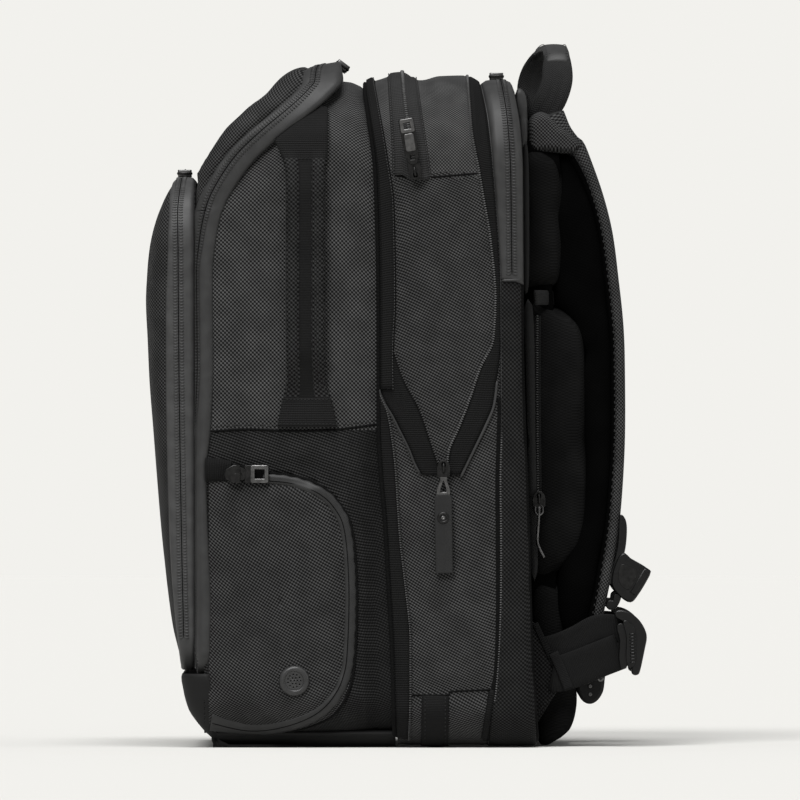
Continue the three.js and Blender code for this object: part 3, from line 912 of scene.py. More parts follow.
SMOOTH_DARK = coated("boot_fabric", 11, 0.7)
FOAM = mesh_foam("back_mesh", 19)
# Near black: the straps' dark mesh lining, darkened to the shade it lies in, and painted shadow on the filler
# under each strap and on the core between the pads.
MESH_AND_PAINTED_SHADOW = mesh_foam("strap_mesh", 3)
LINING = weave("lining", 80, 1.8, contrast=0.2, depth=0.08)
THREAD = ribbed("thread", 38, 0.5, depth=0.1)
THREAD_LIGHT = ribbed("thread_light", 60, 0.5, depth=0.1)
COIL = plastic("zip_coil", 76, 0.38)
COIL_DARK = plastic("zip_coil_dark", 45, 0.45)
# Near black, as painted shadow: laid in seams, slits, gaps and holes, and along edges that stand off the bag.
PAINTED_SHADOW_BLACK = ribbed("seam_shadow", 4, 1.0, roughness=0.9)
PLASTIC = plastic("moulded_plastic", 8, 0.32)
PLASTIC_GREY = plastic("vent_plastic", 50, 0.36)
BOARD = plastic("stiffener", 46, 0.6)
METAL = metal("gunmetal", 100)
METAL_DARK = metal("dark_metal", 48, 0.4)
HANDLE_PATCH = ribbed("handle_patch", 19, 1.7)
POCKET_COAT = coated("pocket_coat", 60)
TOP_TAPE = ribbed("top_tape", 40, 1.7, contrast=0.7)
RUBBER = coated("rubber_tab", 26, 0.6)


def part(obj, body, slot, *nodes):
    """Sets a finished piece on its body and hides the CAD nodes it stands for; slot is not used."""
    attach(obj, body)
    if nodes:
        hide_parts(*nodes)
    return obj


def both(piece, body, slot, *nodes):
    """Sets a right-hand piece and its mirror image. "right" in each name becomes "left" for the image."""
    names = (piece.name, body, *nodes)
    left = [name.replace("right", "left") for name in names]
    part(flipped(piece, left[0]), left[1], slot, *left[2:])
    part(piece, body, slot, *nodes)


# ---------------------------------------------------------------- camera, light and floor
LENS, SENSOR = 900, 36  # millimetres: a very long lens, because the view has almost no perspective
VIEW_SIDE, VIEW_WIDTH = 0.165, 0.584  # metres: the bag's near side, and the width seen there
VIEW_CENTRE = (0.0022, 0.254)
PALE = (0.888, 0.88, 0.847, 1)
SKY = 0.24
# Each sun: its name, the direction it comes from, its power and its spread in degrees.
SUNS = (
    ("key", (1.0, -0.38, 0.95), 1.85, 20),
    ("top", (0.3, 0.0, 1.0), 2.1, 28),
    ("rim", (0.3, 1.0, 0.5), 0.35, 40),
)
FLOOR_SHARE = 0.76  # the floor's paint as a share of the backdrop's colour
FLOOR_REACH = 14


def studio():
    """The camera square to the bag's right side, soft suns, a pale backdrop and a pale floor."""
    camera = bpy.data.objects.new("camera", bpy.data.cameras.new("camera"))
    bpy.context.scene.collection.objects.link(camera)
    camera.data.lens = LENS
    camera.data.sensor_width = SENSOR
    camera.data.clip_end = 80
    camera.location = (VIEW_SIDE + VIEW_WIDTH * LENS / SENSOR, *VIEW_CENTRE)
    camera.rotation_euler = (math.pi / 2, 0, math.pi / 2)
    bpy.context.scene.camera = camera
    view = bpy.context.scene.view_settings
    view.view_transform = "Standard"
    view.look = "None"

    world = bpy.data.worlds.new("studio")
    bpy.context.scene.world = world
    world.use_nodes = True
    tree = world.node_tree
    backdrop = tree.nodes["Background"]
    backdrop.inputs["Color"].default_value = PALE
    sky = tree.nodes.new("ShaderNodeBackground")
    sky.inputs["Color"].default_value = (1, 1, 1, 1)
    sky.inputs["Strength"].default_value = SKY
    seen = tree.nodes.new("ShaderNodeLightPath")
    mix = tree.nodes.new("ShaderNodeMixShader")
    tree.links.new(seen.outputs["Is Camera Ray"], mix.inputs[0])
    tree.links.new(sky.outputs[0], mix.inputs[1])
    tree.links.new(backdrop.outputs[0], mix.inputs[2])
    tree.links.new(mix.outputs[0], tree.nodes["World Output"].inputs[0])
    for name, aim, power, spread in SUNS:
        light = bpy.data.lights.new(name, "SUN")
        light.energy = power
        light.angle = math.radians(spread)
        light.use_shadow = name != "rim"
        sun = bpy.data.objects.new(name, light)
        sun.rotation_mode = "QUATERNION"
        sun.rotation_quaternion = (-Vector(aim)).to_track_quat("-Z", "Y")
        bpy.context.scene.collection.objects.link(sun)

    floor_paint = bpy.data.materials.new("floor")
    floor_paint.use_nodes = True
    shader = floor_paint.node_tree.nodes["Principled BSDF"]
    shader.inputs["Base Color"].default_value = tuple(c * FLOOR_SHARE for c in PALE[:3]) + (1,)
    shader.inputs["Roughness"].default_value = 1
    shader.inputs["Specular IOR Level"].default_value = 0
    mesh = bpy.data.meshes.new("floor")
    corners = [(x * FLOOR_REACH, y * FLOOR_REACH, 0) for x, y in ((-1, -1), (1, -1), (1, 1), (-1, 1))]
    mesh.from_pydata(corners, [], [(0, 1, 2, 3)])
    mesh.materials.append(floor_paint)
    floor = bpy.data.objects.new("floor", mesh)
    bpy.context.scene.collection.objects.link(floor)


studio()


# ---------------------------------------------------------------- front section
ZIP_EDGE_AT = smooth(ZIP_EDGE)
TAPE_LEFT_AT = smooth(TAPE_LEFT)
REAR_SEAM_AT = smooth(REAR_SEAM)


def loop_shares(per_half):
    """Shares all the way round the outline, closer together in its corners."""
    spans = ((0, A1, 0.12), (A1, A2, 0.14), (A2, AM, 0.26), (AM, A3, 0.28), (A3, A4, 0.14), (A4, 1, 0.08))
    half = []
    for start, end, share in spans:
        count = max(2, round(per_half * share))
        half += [start + (end - start) * k / count for k in range(count)]
    return half + [1.0] + [2 - s for s in half[:0:-1]]


def shell_point(s, v):
    """The front section's skin, from under the front panel's zip to under the front tape."""
    y0 = front_skin.depth(ZIP_EDGE_AT, s) - 3
    y1 = front_skin.depth(TAPE_LEFT_AT, s) + 1.5
    return front_skin.at(s, y0 + (y1 - y0) * v)


DOOR_OUTLINE = [
    (-137.5, 200), (-137.5, 18), (-135, 14.5), (-110, 10.5), (-86, 12.7), (-55.5, 21), (-42, 30), (-34, 46),
    (-30.6, 70), (-29.5, 118), (-33, 160), (-42, 178), (-54.7, 190.5), (-72.5, 197.6), (-96, 201),
    (-118, 202.5),
]


def door_loop(step=4.0):
    """The door's outline as (y, z), with its two front corners kept sharp."""
    curved = spaced(spline([(y, z, 0) for y, z in DOOR_OUTLINE[2:]], 8), step)
    corners = [(-118, 202.5), (-137.5, 200), (-137.5, 18), (-135, 14.5)]
    front = spaced([(y, z, 0) for y, z in corners], step)
    return [(p[0], p[1]) for p in curved + front[1:-1]]


PAINTED_SHADE_FROM, PAINTED_SHADE_STEP = -36, 6  # where the painted shade on the lower weave starts, and how wide each step of it is


def front_shell():
    """The front section's cloth: darker below the side seam, with painted shade in steps towards the rear
    seam, and a hole for each side pocket.
    """
    shares = loop_shares(130)
    shell = slab(
        "front_shell_skin", shell_point, shares, span(0, 1, 44), [WEAVE, WEAVE_LOW, LINING] + WEAVE_PAINTED_SHADE,
        0.0, 3.0, closed=True
    )
    for sign in (1, -1):
        loop = door_loop()
        count = len(loop)
        verts = [(sign * 120, y, z) for y, z in loop] + [(sign * 200, y, z) for y, z in loop]
        faces = [(k, (k + 1) % count, count + (k + 1) % count, count + k) for k in range(count)]
        faces += [tuple(range(count))[::-1], tuple(range(count, 2 * count))]
        if sign < 0:
            faces = [f[::-1] for f in faces]
        cutter = new_mesh("cutter", verts, faces, WEAVE)
        cut = shell.modifiers.new("door", "BOOLEAN")
        cut.operation = "DIFFERENCE"
        cut.object = cutter
        cut.solver = "EXACT"
        shell = baked(shell)
        bpy.data.objects.remove(cutter)
    lay_cloth(shell)
    for face in shell.data.polygons:
        low = face.center.z < SEAM_Z * MM
        inside = face.normal.x * face.center.x < -0.02 * MM and abs(face.center.x) > 0.1
        # painted shade: lower faces near the rear seam take a darker copy of the lower weave for each step
        shade = min(math.floor((face.center.y / MM - PAINTED_SHADE_FROM) / PAINTED_SHADE_STEP), 2)
        face.material_index = 2 if inside else ((3 + shade if shade >= 0 else 1) if low else 0)
    part(shell, "front_section", "weave_fabric", "front_shell")


front_shell()


def edged(rise, sharp=6.0):
    """A height across a band: nothing at its edges, rise over most of its width."""
    return lambda i, j: rise * ease(min(j, 1 - j) * sharp)


def side_seam():
    """The seam across the side with its row of stitches."""
    line = [(-136, 231), (-110, 232.5), (-80, 231.5), (-50, 232), (-30, 234), (-13, 236.5)]
    # the seam's groove is a near-black cord that paints the shade in its hollow
    groove = cord_along(
        "side_seam", surface_line(front_skin, line, 3, 0.1), 0.9, PAINTED_SHADOW_BLACK, sides=6, mirror=True
    )
    part(groove, "front_section", "weave_fabric")
    stitches = surface_line(front_skin, [(y, z + 3.2) for y, z in line], 4.2, 0.15)
    part(
        lumps("side_seam_stitches", stitches, (2.8, 0.7, 0.6), THREAD, mirror=True), "front_section",
        "weave_fabric"
    )


def front_tapes():
    """The wide tape between the front section and the gusset, and the expansion zip's front half below it."""
    low = gusset_skin.share(-8, 262)
    upper = strip(
        "front_tape_upper", gusset_skin, TAPE_LEFT, TAPE_RIGHT, low, 2 - low, TAPE, edged(3.3), 220,
        drop=0.8
    )
    part(upper, "front_section", "smooth_fabric")
    foot = gusset_skin.share(-3, 8)
    parts = []
    for sign in (1, -1):
        s0, s1 = (foot, low) if sign > 0 else (2 - low, 2 - foot)
        parts.append(strip("tape", gusset_skin, TAPE_LEFT, COIL_LEFT, s0, s1, TAPE, edged(1.4), 110))
    part(join("front_tape_lower", parts), "front_section", "smooth_fabric")
    edge = table_line(gusset_skin, TAPE_LEFT, foot, 2 - foot, 3, 0.5, -0.9)
    part(cord_along("front_tape_shadow", edge, 1.5, PAINTED_SHADOW_BLACK, sides=6), "front_section", "smooth_fabric")
    right = table_line(gusset_skin, TAPE_RIGHT, low, 2 - low, 2.3, 2.7, -1.3)
    part(
        lumps("front_tape_stitches", right, (1.5, 0.8, 0.7), THREAD_LIGHT), "front_section", "smooth_fabric"
    )
    teeth = table_line(gusset_skin, COIL_LEFT, foot, gusset_skin.share(-12, 257), 1.75, 1.3)
    coil = lumps("front_expansion_coil", teeth, (0.95, 2.3, 1.3), COIL_DARK, mirror=True)
    part(coil, "front_section", "smooth_fabric")
    part(
        lumps("front_expansion_thread", teeth, (1.3, 0.6, 0.7), COIL, (0, 0.5, 0.55), mirror=True),
        "front_section", "smooth_fabric"
    )


# ---------------------------------------------------------------- side pocket
DOOR_MIDDLE = (-85, 106)
DOOR_RISE, DOOR_CROWN = 1.2, 2.4  # how far its edge stands off the side, and its middle off its edge


def door_surface(k, r, loop):
    """The door's skin at a share r of the way from its middle to point k of its outline."""
    y, z = loop[k]
    y, z = DOOR_MIDDLE[0] + (y - DOOR_MIDDLE[0]) * r, DOOR_MIDDLE[1] + (z - DOOR_MIDDLE[1]) * r
    crumple = 0.45 * math.sin(y / 19 + z / 37) * math.sin(z / 24 + 0.7)
    return front_skin.side(y, z, DOOR_RISE + DOOR_CROWN * (1 - r**4) + crumple * (1 - r**3))


def pocket_doors():
    """The side pockets' cloth doors."""
    loop = door_loop(3.5)
    rings = [0.001 + 0.999 * math.sin(math.pi / 2 * t) for t in span(0, 1, 26)]
    door = slab(
        "side_pocket_door_panel_right", lambda k, r: door_surface(int(k), r, loop), range(len(loop)), rings,
        WEAVE_DOOR, 0.0, 2.6, closed=True, out=(1, 0, 0),
    )
    lay_cloth(door)
    both(door, "side_pocket_door_right", "weave_fabric", "side_pocket_door_right")


TAPE_ARC = [
    (-98, 196.5), (-84, 195.6), (-72, 193.2), (-57, 187), (-45.5, 176.5), (-37.5, 159), (-34.2, 118),
    (-35.3, 72), (-38, 53), (-45, 38), (-60, 26), (-86, 17.8), (-110, 15.4), (-136, 19.5),
]
TAPE_WIDTHS = {0: 7.0, 0.25: 8.0, 0.55: 8.5, 0.75: 7.5, 0.9: 9.0, 1: 12.5}


def tape_patch(name, line, widths, skin, finish, lift, crown, drop=1.0, pucker=0.0, count=170):
    """A band of fabric of varying width along a line on the side."""
    spots = spaced(spline([(y, z, 0) for y, z in line], 10), 1.0)
    width = smooth(widths)

    def surface(t, v):
        f = t * (len(spots) - 1)
        i = min(int(f), len(spots) - 2)
        p = spots[i].lerp(spots[i + 1], f - i)
        ahead = (spots[min(i + 3, len(spots) - 1)] - spots[max(i - 2, 0)]).normalized()
        shift = (v - 0.5) * width(t)
        if v < 0.2 and pucker:
            shift += pucker * (math.sin(t * 210) + 0.6 * math.sin(t * 97 + 1)) * (0.2 - v) * 5
        return skin.side(p[0] + ahead[1] * shift, p[1] - ahead[0] * shift, lift)

    return slab(
        name, surface, span(0, 1, count), span(0, 1, 9), finish, edged(crown, 4), drop, out=(1, 0, 0)
    )


def pocket_tapes():
    """The coated tape over the side pocket's zip, the zip's slit as a near-black line of painted shade, and a
    painted shadow along the door's edge.
    """
    tape = tape_patch(
        "side_pocket_tape_right", TAPE_ARC, TAPE_WIDTHS, front_skin, COATED_DARK, 2.0, 1.3, 1.2, 0.22, 320
    )
    line = surface_line(front_skin, [(y + 0.6, z) for y, z in TAPE_ARC], 2.4, 3.35)
    groove = cord_along("side_pocket_slit_right", line, 0.4, PAINTED_SHADOW_BLACK, (0, -1.5, 0), 6)
    rim = door_loop(3)
    edge = [(y, z) for y, z in rim if y > -134]
    shadow = cord_along(
        "side_pocket_edge_right", surface_line(front_skin, edge, 3, 1.0, 1), 1.1, PAINTED_SHADOW_BLACK, sides=6,
    )
    for made in (tape, groove, shadow):
        both(made, "side_pocket_door_right", "coated_fabric")


VENT = (-75, 49)  # the eyelet's middle, as (y, z)


def vent_eyelets():
    """A round vent with a rim and a perforated disc."""
    holes = [circle(0, 0, 0.8, 10)]
    for ring, count in ((2.4, 6), (4.7, 11)):
        for k in range(count):
            angle = 2 * math.pi * k / count
            holes.append(circle(ring * math.cos(angle), ring * math.sin(angle), 0.8, 10))
    y, z = VENT
    at = front_skin.side(y, z, DOOR_RISE + DOOR_CROWN + 0.1)
    out = front_skin.side(y, z, 1) - front_skin.side(y, z, 0)
    place = basis(at, (0, 1, 0), out)
    disc = plate(
        "disc", [circle(0, 0, 6.6, 40)] + holes, 1.2, PLASTIC_GREY, 0.25,
        place @ Matrix.Translation((0, 0, 0.9))
    )
    # a near-black backing paints the shade seen through the disc's holes
    backing = plate(
        "backing", [circle(0, 0, 9, 32)], 0.6, PAINTED_SHADOW_BLACK, 0.1, place @ Matrix.Translation((0, 0, -0.1))
    )
    ring = ring_piece(
        "ring", place,
        [(6.4, 0.2), (6.9, 1.5), (8.0, 2.2), (9.6, 1.9), (10.7, 1.0), (11.2, -0.6), (6.4, -0.6)],
        PLASTIC_GREY
    )
    eyelet = join("vent_eyelet_ring_right", [disc, backing, ring])
    both(eyelet, "side_pocket_door_right", "moulded_plastic", "vent_eyelet_right")


def pocket_garages():
    """The dark tab that the side pocket's zip ends under."""
    tab = tape_patch(
        "side_pocket_garage", [
            (-139.5, 203), (-130, 203), (-121.5, 202)
        ], {0: 18, 1: 15}, front_skin, TAPE, 2.8, 1.6, 2.0, count=30
    )
    # the zip's track beside the tab is laid in the near-black painted-shadow cloth
    rest = tape_patch(
        "track", [
            (-124, 201), (-112, 199.5), (-96, 197.5)
        ], {0: 14, 1: 13}, front_skin, PAINTED_SHADOW_BLACK, 1.6, 0.5, 1.2, count=30
    )
    both(join("side_pocket_garage_right", [tab, rest]), "front_section", "smooth_fabric")


# ---------------------------------------------------------------- side handle
HANDLE_LEFT = smooth({
    233: -87.5, 250: -84.5, 268: -80.5, 300: -80.8, 420: -81, 432: -84, 446: -89.5, 470: -90
})
HANDLE_RIGHT = smooth({233: -43.5, 250: -47, 268: -51.5, 300: -53, 420: -52.8, 434: -51, 470: -50.5})
HANDLE_OUT = smooth({
    233: 165.6, 258: 166.2, 274: 169.5, 292: 174, 405: 174, 420: 171.5, 431: 168.6, 448: 166.6, 457: 162,
    470: 153
})


HANDLE_FOOT, HANDLE_HEAD = 234, 468


def side_handles():
    """The side handles: a webbing grip with rolled edges, a sewn patch at each end, and rows of stitches."""
    heights = [float(z) for z in np.linspace(HANDLE_FOOT, HANDLE_HEAD, 118)]

    def surface(z, v):
        y0 = max(HANDLE_LEFT(z), ZIP_EDGE_AT(z) + 0.6 if z > 436 else -200)
        y1 = max(HANDLE_RIGHT(z), y0 + 0.5)
        return Vector((HANDLE_OUT(z), y0 + (y1 - y0) * v, z))

    def lift(i, j):
        z = HANDLE_FOOT + (HANDLE_HEAD - HANDLE_FOOT) * i
        grip = ease((z - 262) / 22) * (1 - ease((z - 424) / 14))
        middle = abs(j - 0.5) * 2
        roll = math.sqrt(max(0, 1 - ((middle - 0.66) / 0.34) ** 2)) if middle > 0.32 else 0
        flat = 0.8 * (1 - middle**8)
        return flat * (1 - grip) + grip * (2.6 * roll + (0.25 if middle <= 0.32 else 0))

    strap = slab(
        "side_handle_strap_right", surface, heights, span(0, 1, 37), [WEBBING, HANDLE_EDGE, HANDLE_PATCH],
        lift, 1.8, out=(1, 0, 0)
    )
    for face in strap.data.polygons:
        y, z = face.center.y / MM, face.center.z / MM
        share = (y - HANDLE_LEFT(z)) / (HANDLE_RIGHT(z) - HANDLE_LEFT(z))
        rolled = abs(share - 0.5) * 2 > 0.34
        face.material_index = 2 if z > 430 or z < 256 else (1 if rolled else 0)
    rows = []
    for z, y0, y1 in ((430.5, -79, -54), (254.5, -80, -50), (236.5, -85, -46)):
        spots = [Vector((HANDLE_OUT(z) + 0.9, y, z)) for y in np.arange(y0, y1, 2.6)]
        rows += frames(spots, [Vector((1, 0, 0))] * len(spots))
    for share, out in ((0.3, 0.9), (0.7, 0.9), (0.05, 1.2), (0.95, 1.2), (0.2, 2.5), (0.8, 2.5)):
        for k, z in enumerate(np.arange(262, 428, 2.9)):
            sway = 0.8 if k % 2 else -0.8
            spot = surface(z, share) + Vector((out, sway, 0))
            rows.append((
                spot, Vector((0, 0.35 * sway, 1)).normalized(), Vector((0, 1, 0)), Vector((1, 0, 0))
            ))
    stitches = lumps("stitches", rows, (2.0, 0.8, 0.7), THREAD)
    both(
        join("side_handle_webbing_right", [strap, stitches]), "front_section", "webbing",
        "side_handle_right"
    )


# ---------------------------------------------------------------- base boot
BOOT_HALF = 163.5
BOOT_CORNER = 22.0
BOOT_NOSE = -156.6  # its front face
BOOT_SIDE, BOOT_FRONT = 11, 54  # its height along the side and in front
BOOT_STEP_Y = -131.5  # where it steps up
BOOT_INSET = smooth({0: 33.6, 3: 27.5, 8.3: 19.6, 17.5: 11, 28.5: 4, 43: 0.6, 54: 0})


def boot_plan():
    """The boot's outline from above, from the right side's rear to the left side's rear."""
    points = [(BOOT_HALF, y) for y in np.linspace(-1, BOOT_NOSE + BOOT_CORNER, 40)]
    x0, y0 = BOOT_HALF - BOOT_CORNER, BOOT_NOSE + BOOT_CORNER
    for k in range(1, 12):
        angle = math.pi / 2 * k / 12
        points.append((x0 + BOOT_CORNER * math.cos(angle), y0 - BOOT_CORNER * math.sin(angle)))
    points += [(x, BOOT_NOSE) for x in np.linspace(x0, 0, 24)]
    return points + [(-x, y) for x, y in points[-2::-1]]


def base_boot():
    """The dark cloth boot round the bag's foot, which runs a little way in under it."""
    plan = boot_plan()

    def surface(k, v):
        x, y = plan[int(k)]
        top = BOOT_SIDE + (BOOT_FRONT - BOOT_SIDE) * ease((BOOT_STEP_Y - y) / 6)
        z = top * (1 - v) if v <= 1 else 0
        inset = BOOT_INSET(z) + (v - 1) * 100 if v > 1 else BOOT_INSET(z)
        from_front = min(1, (y - BOOT_NOSE) / BOOT_CORNER)
        side = math.copysign(1, x) * (1 if abs(x) > BOOT_HALF - BOOT_CORNER else 0)
        nx = side if from_front >= 1 else side * math.sqrt(max(0, 1 - (1 - from_front) ** 2))
        ny = -math.sqrt(max(0, 1 - nx * nx))
        ripple = 0.35 * math.sin(k / 4.3) * math.sin(z / 9)
        return Vector((x - nx * (inset - ripple), y - ny * (inset - ripple), z))

    steps = [0, 0.04, 0.1] + span(0.18, 1, 14) + [1.25, 1.5]
    boot = slab(
        "base_boot_skin", surface, range(len(plan)), steps, SMOOTH_DARK, lambda i,
        j: 1.2 * math.exp(-(((j * 19 - 1.5) / 1.5) ** 2)), 2.0
    )
    part(boot, "front_section", "smooth_fabric", "base_boot")


# ---------------------------------------------------------------- front panel
PANEL_HALF = 163.6
PANEL_TOP, PANEL_BOTTOM, PANEL_CORNER, PANEL_FOOT = 501.0, 53.0, 58.0, 20.0
PANEL_SIDE_FOOT, PANEL_FOOT_Y = 60, -138  # under this height the panel's rim keeps this depth
PANEL_FACE_AT = smooth(PANEL_FACE)
# Each row round the panel: how far in from the outline, its share of the way to the face, and how far behind
# the rim.
PANEL_ROWS = (
    (7, 0, 1.5), (4, 0, 0.8), (1.8, 0, 0.2), (0.5, 0, -0.5), (0, 0.10, 0), (0, 0.25, 0), (0, 0.4, 0),
    (0.4, 0.55, 0), (1.2, 0.68, 0), (2.6, 0.8, 0), (5, 0.9, 0), (9, 0.97, 0), (15, 1, 0), (24, 1, 0),
    (36, 1, 0), (50, 1, 0), (70, 1, 0), (95, 1, 0), (125, 1, 0), (150, 1, 0),
)
panel_skin = Skin(lambda y: PANEL_TOP, PANEL_BOTTOM, PANEL_HALF, PANEL_FOOT, PANEL_CORNER)
RIM_ROWS = 4
SECTION_STEPS = 4


def on_section(section, d):
    """The point d millimetres along a section."""
    flat, lengths = section
    d = min(max(d, lengths[0]), lengths[-1])
    return Vector([float(np.interp(d, lengths, flat[:, k])) for k in range(3)])


@functools.cache
def panel_section(s):
    """The panel's section at a share of its outline, from its rim towards its middle: its points, and the
    distance from the rim to each."""
    points = []
    for inset, share, back in PANEL_ROWS:
        x, z, _, nz = panel_skin.hoop(s, 0, inset)
        if back > 0:
            x, z = panel_skin.hoop(s, 0, inset * (1 + max(nz, 0)))[:2]
        y0 = ZIP_EDGE_AT(z) if z > PANEL_SIDE_FOOT else PANEL_FOOT_Y
        y1 = min(PANEL_FACE_AT(z), y0)
        points.append(Vector((x, y0 + back + (y1 - y0) * share, z)))
    fine = spline(points, SECTION_STEPS)
    lengths = run_lengths(fine)
    return np.array([list(p) for p in fine]), lengths - lengths[RIM_ROWS * SECTION_STEPS]


def panel_point(s, d):
    """The point d millimetres from the rim, towards the middle."""
    return on_section(panel_section(s), d)


def rim_height(s):
    return panel_skin.hoop(s, 0, 0)[1]


BAND_WIDTH = smooth({56: 12, 100: 12.5, 347: 14.5, 420: 19, 451: 23, 501: 25})
BAND_SLIT = smooth({56: 8, 347: 8.4, 420: 11, 451: 13.5, 501: 14})
RIDGES = (0.0, 0.3, 0.53, 1.0)


def inward(s, width):
    """How far along the skin a line lies that is width millimetres from the rim, seen from the side."""
    flat, lengths = panel_section(s)
    steps = np.hypot(np.diff(flat[:, 1]), np.diff(flat[:, 2]))
    seen = np.concatenate([[0.0], np.cumsum(np.where(lengths[1:] > 0, steps, 0))])
    start = int(np.searchsorted(lengths, 0))
    return float(min(np.interp(width, seen[start:], lengths[start:]), width * 2.4))


def ridge_end(s):
    """How far from the rim the panel turns to its flat face."""
    flat, lengths = panel_section(s)
    faced = [d for p, d in zip(flat, lengths) if p[1] < -143.5 or d > 190]
    return max(faced[0] if faced else 60, 14.0)


PANEL_END = 0.06  # the share of the outline at which the panel's two lower corners end
RIDGE_HEIGHT = 4.6


def front_panel():
    """The front panel: three ridges round its edge, its flat face, its coated band and its zip."""
    shares = [s for s in loop_shares(150) if PANEL_END < s < 2 - PANEL_END]
    ends = {s: ridge_end(s) for s in shares}

    def surface(s, v):
        lengths = panel_section(s)[1]
        return panel_point(s, lengths[0] + (lengths[-1] - lengths[0]) * v)

    rows = [t**1.25 for t in span(0, 1, 150)]

    def lift(i, j):
        s = shares[min(int(round(i * (len(shares) - 1))), len(shares) - 1)]
        lengths = panel_section(s)[1]
        d = lengths[0] + (lengths[-1] - lengths[0]) * rows[int(round(j * (len(rows) - 1)))]
        start, end = inward(s, BAND_WIDTH(rim_height(s))) - 1, ends[s]
        if d < start or d > end or end - start < 4:
            return 0.0
        f = (d - start) / (end - start)
        size = min(1.0, (end - start) / 60)
        for a, b in zip(RIDGES, RIDGES[1:]):
            if a <= f <= b:
                t = (f - a) / (b - a)
                return size * RIDGE_HEIGHT * (1 - (2 * t - 1) ** 2) ** 0.4 * (0.6 + 0.4 * (1 - t))
        return 0.0

    panel = slab("front_panel_skin", surface, shares, rows, RIDGE_WEAVE, lift, 2.5)

    def face(z, v):
        edge = ZIP_EDGE_AT(z) if z > PANEL_SIDE_FOOT else PANEL_FOOT_Y
        return Vector((200 * v - 100, min(PANEL_FACE_AT(z), edge) + 0.5, z))

    middle = slab("middle", face, span(56, 368, 80), span(0, 1, 14), RIDGE_WEAVE, 0, 1.7, out=(0, -1, 0))
    panel = join("front_panel_skin", [panel, middle])
    lay_front_cloth(panel)
    part(panel, "front_panel", "weave_fabric", "front_panel")

    def band(s, v):
        low, high = panel_section(s)[1][0] + 1, inward(s, BAND_WIDTH(rim_height(s)))
        return panel_point(s, low + (high - low) * v)

    finer = [s for s in loop_shares(260) if PANEL_END < s < 2 - PANEL_END]
    coat = slab("front_panel_band", band, finer, span(0, 1, 22), COATED, edged(1.3, 8), 1.0)
    part(coat, "front_panel", "coated_fabric")
    spots, outs = slit_line(finer, panel_point, lambda s: inward(s, BAND_SLIT(rim_height(s))), CENTRE, 1.3)
    zip_slit("front_panel_zip", respaced(spots, outs, 2.2), "front_panel", COATED)


def slit_line(shares, point, depth_at, middle, rise):
    """Places along a zip round an outline, rise millimetres out of the skin, and the directions outward."""
    spots, outs = [], []
    for s in shares:
        d = depth_at(s)
        p = point(s, d)
        across = point(s, d + 1) - point(s, d - 1)
        ahead = point(min(s + 0.004, 2), d) - point(s - 0.004, d)
        n = ahead.cross(across).normalized()
        if n.dot(p - middle) < 0:
            n = -n
        spots.append(p + n * rise)
        outs.append(n)
    return spots, outs


def zip_slit(name, line, body, finish):
    """A covered zip: a slit drawn as a near-black line of painted shade, with the coil's ticks pressing
    through the coated band on both sides.
    """
    parts = [cord_along("slit", line, 0.42, PAINTED_SHADOW_BLACK, sides=6)]
    for reach in (-2.3, 2.3):
        parts.append(lumps("ticks", line, (1.2, 3.6, 1.2), finish, (0, reach, 0.02)))
    return part(join(name, parts), body, "coated_fabric")


# ---------------------------------------------------------------- front pocket
POCKET_HALF, POCKET_TOP, POCKET_BOTTOM, POCKET_CORNER, POCKET_FOOT = 151.0, 416.0, 57.5, 50.0, 25.0
POCKET_FACE_AT = smooth(POCKET_FACE)
# Each row round the pocket: how far in from the outline, and its share of the way to the face at the side and
# on top.
POCKET_ROWS = (
    (2, 0, 0), (0, 0.06, 0.2), (0, 0.25, 0.6), (0.2, 0.42, 0.92), (0.8, 0.56, 1), (2.2, 0.68, 1),
    (5, 0.78, 1), (10, 0.855, 1), (18, 0.915, 1), (30, 0.955, 1), (48, 0.982, 1), (72, 0.995, 1),
    (100, 1, 1), (149, 1, 1),
)
pocket_skin = Skin(lambda y: POCKET_TOP, POCKET_BOTTOM, POCKET_HALF, POCKET_FOOT, POCKET_CORNER)


@functools.cache
def pocket_section(s):
    """The pocket's section at a share of its outline, from the bag towards its middle."""
    points = []
    for inset, side_share, top_share in POCKET_ROWS:
        x, z, _, nz = pocket_skin.hoop(s, 0, inset)
        share = side_share + (top_share - side_share) * abs(nz)
        points.append(Vector((x, POCKET_BACK_Y + (POCKET_FACE_AT(z) - POCKET_BACK_Y) * share, z)))
    fine = spline(points, SECTION_STEPS)
    return np.array([list(p) for p in fine]), run_lengths(fine)


def pocket_point(s, d):
    return on_section(pocket_section(s), d)


POCKET_BAND = smooth({58: 15, 90: 19, 150: 21, 300: 22.5, 416: 19})
POCKET_SLIT = smooth({58: 9, 150: 11, 300: 13, 390: 13.5, 416: 11})


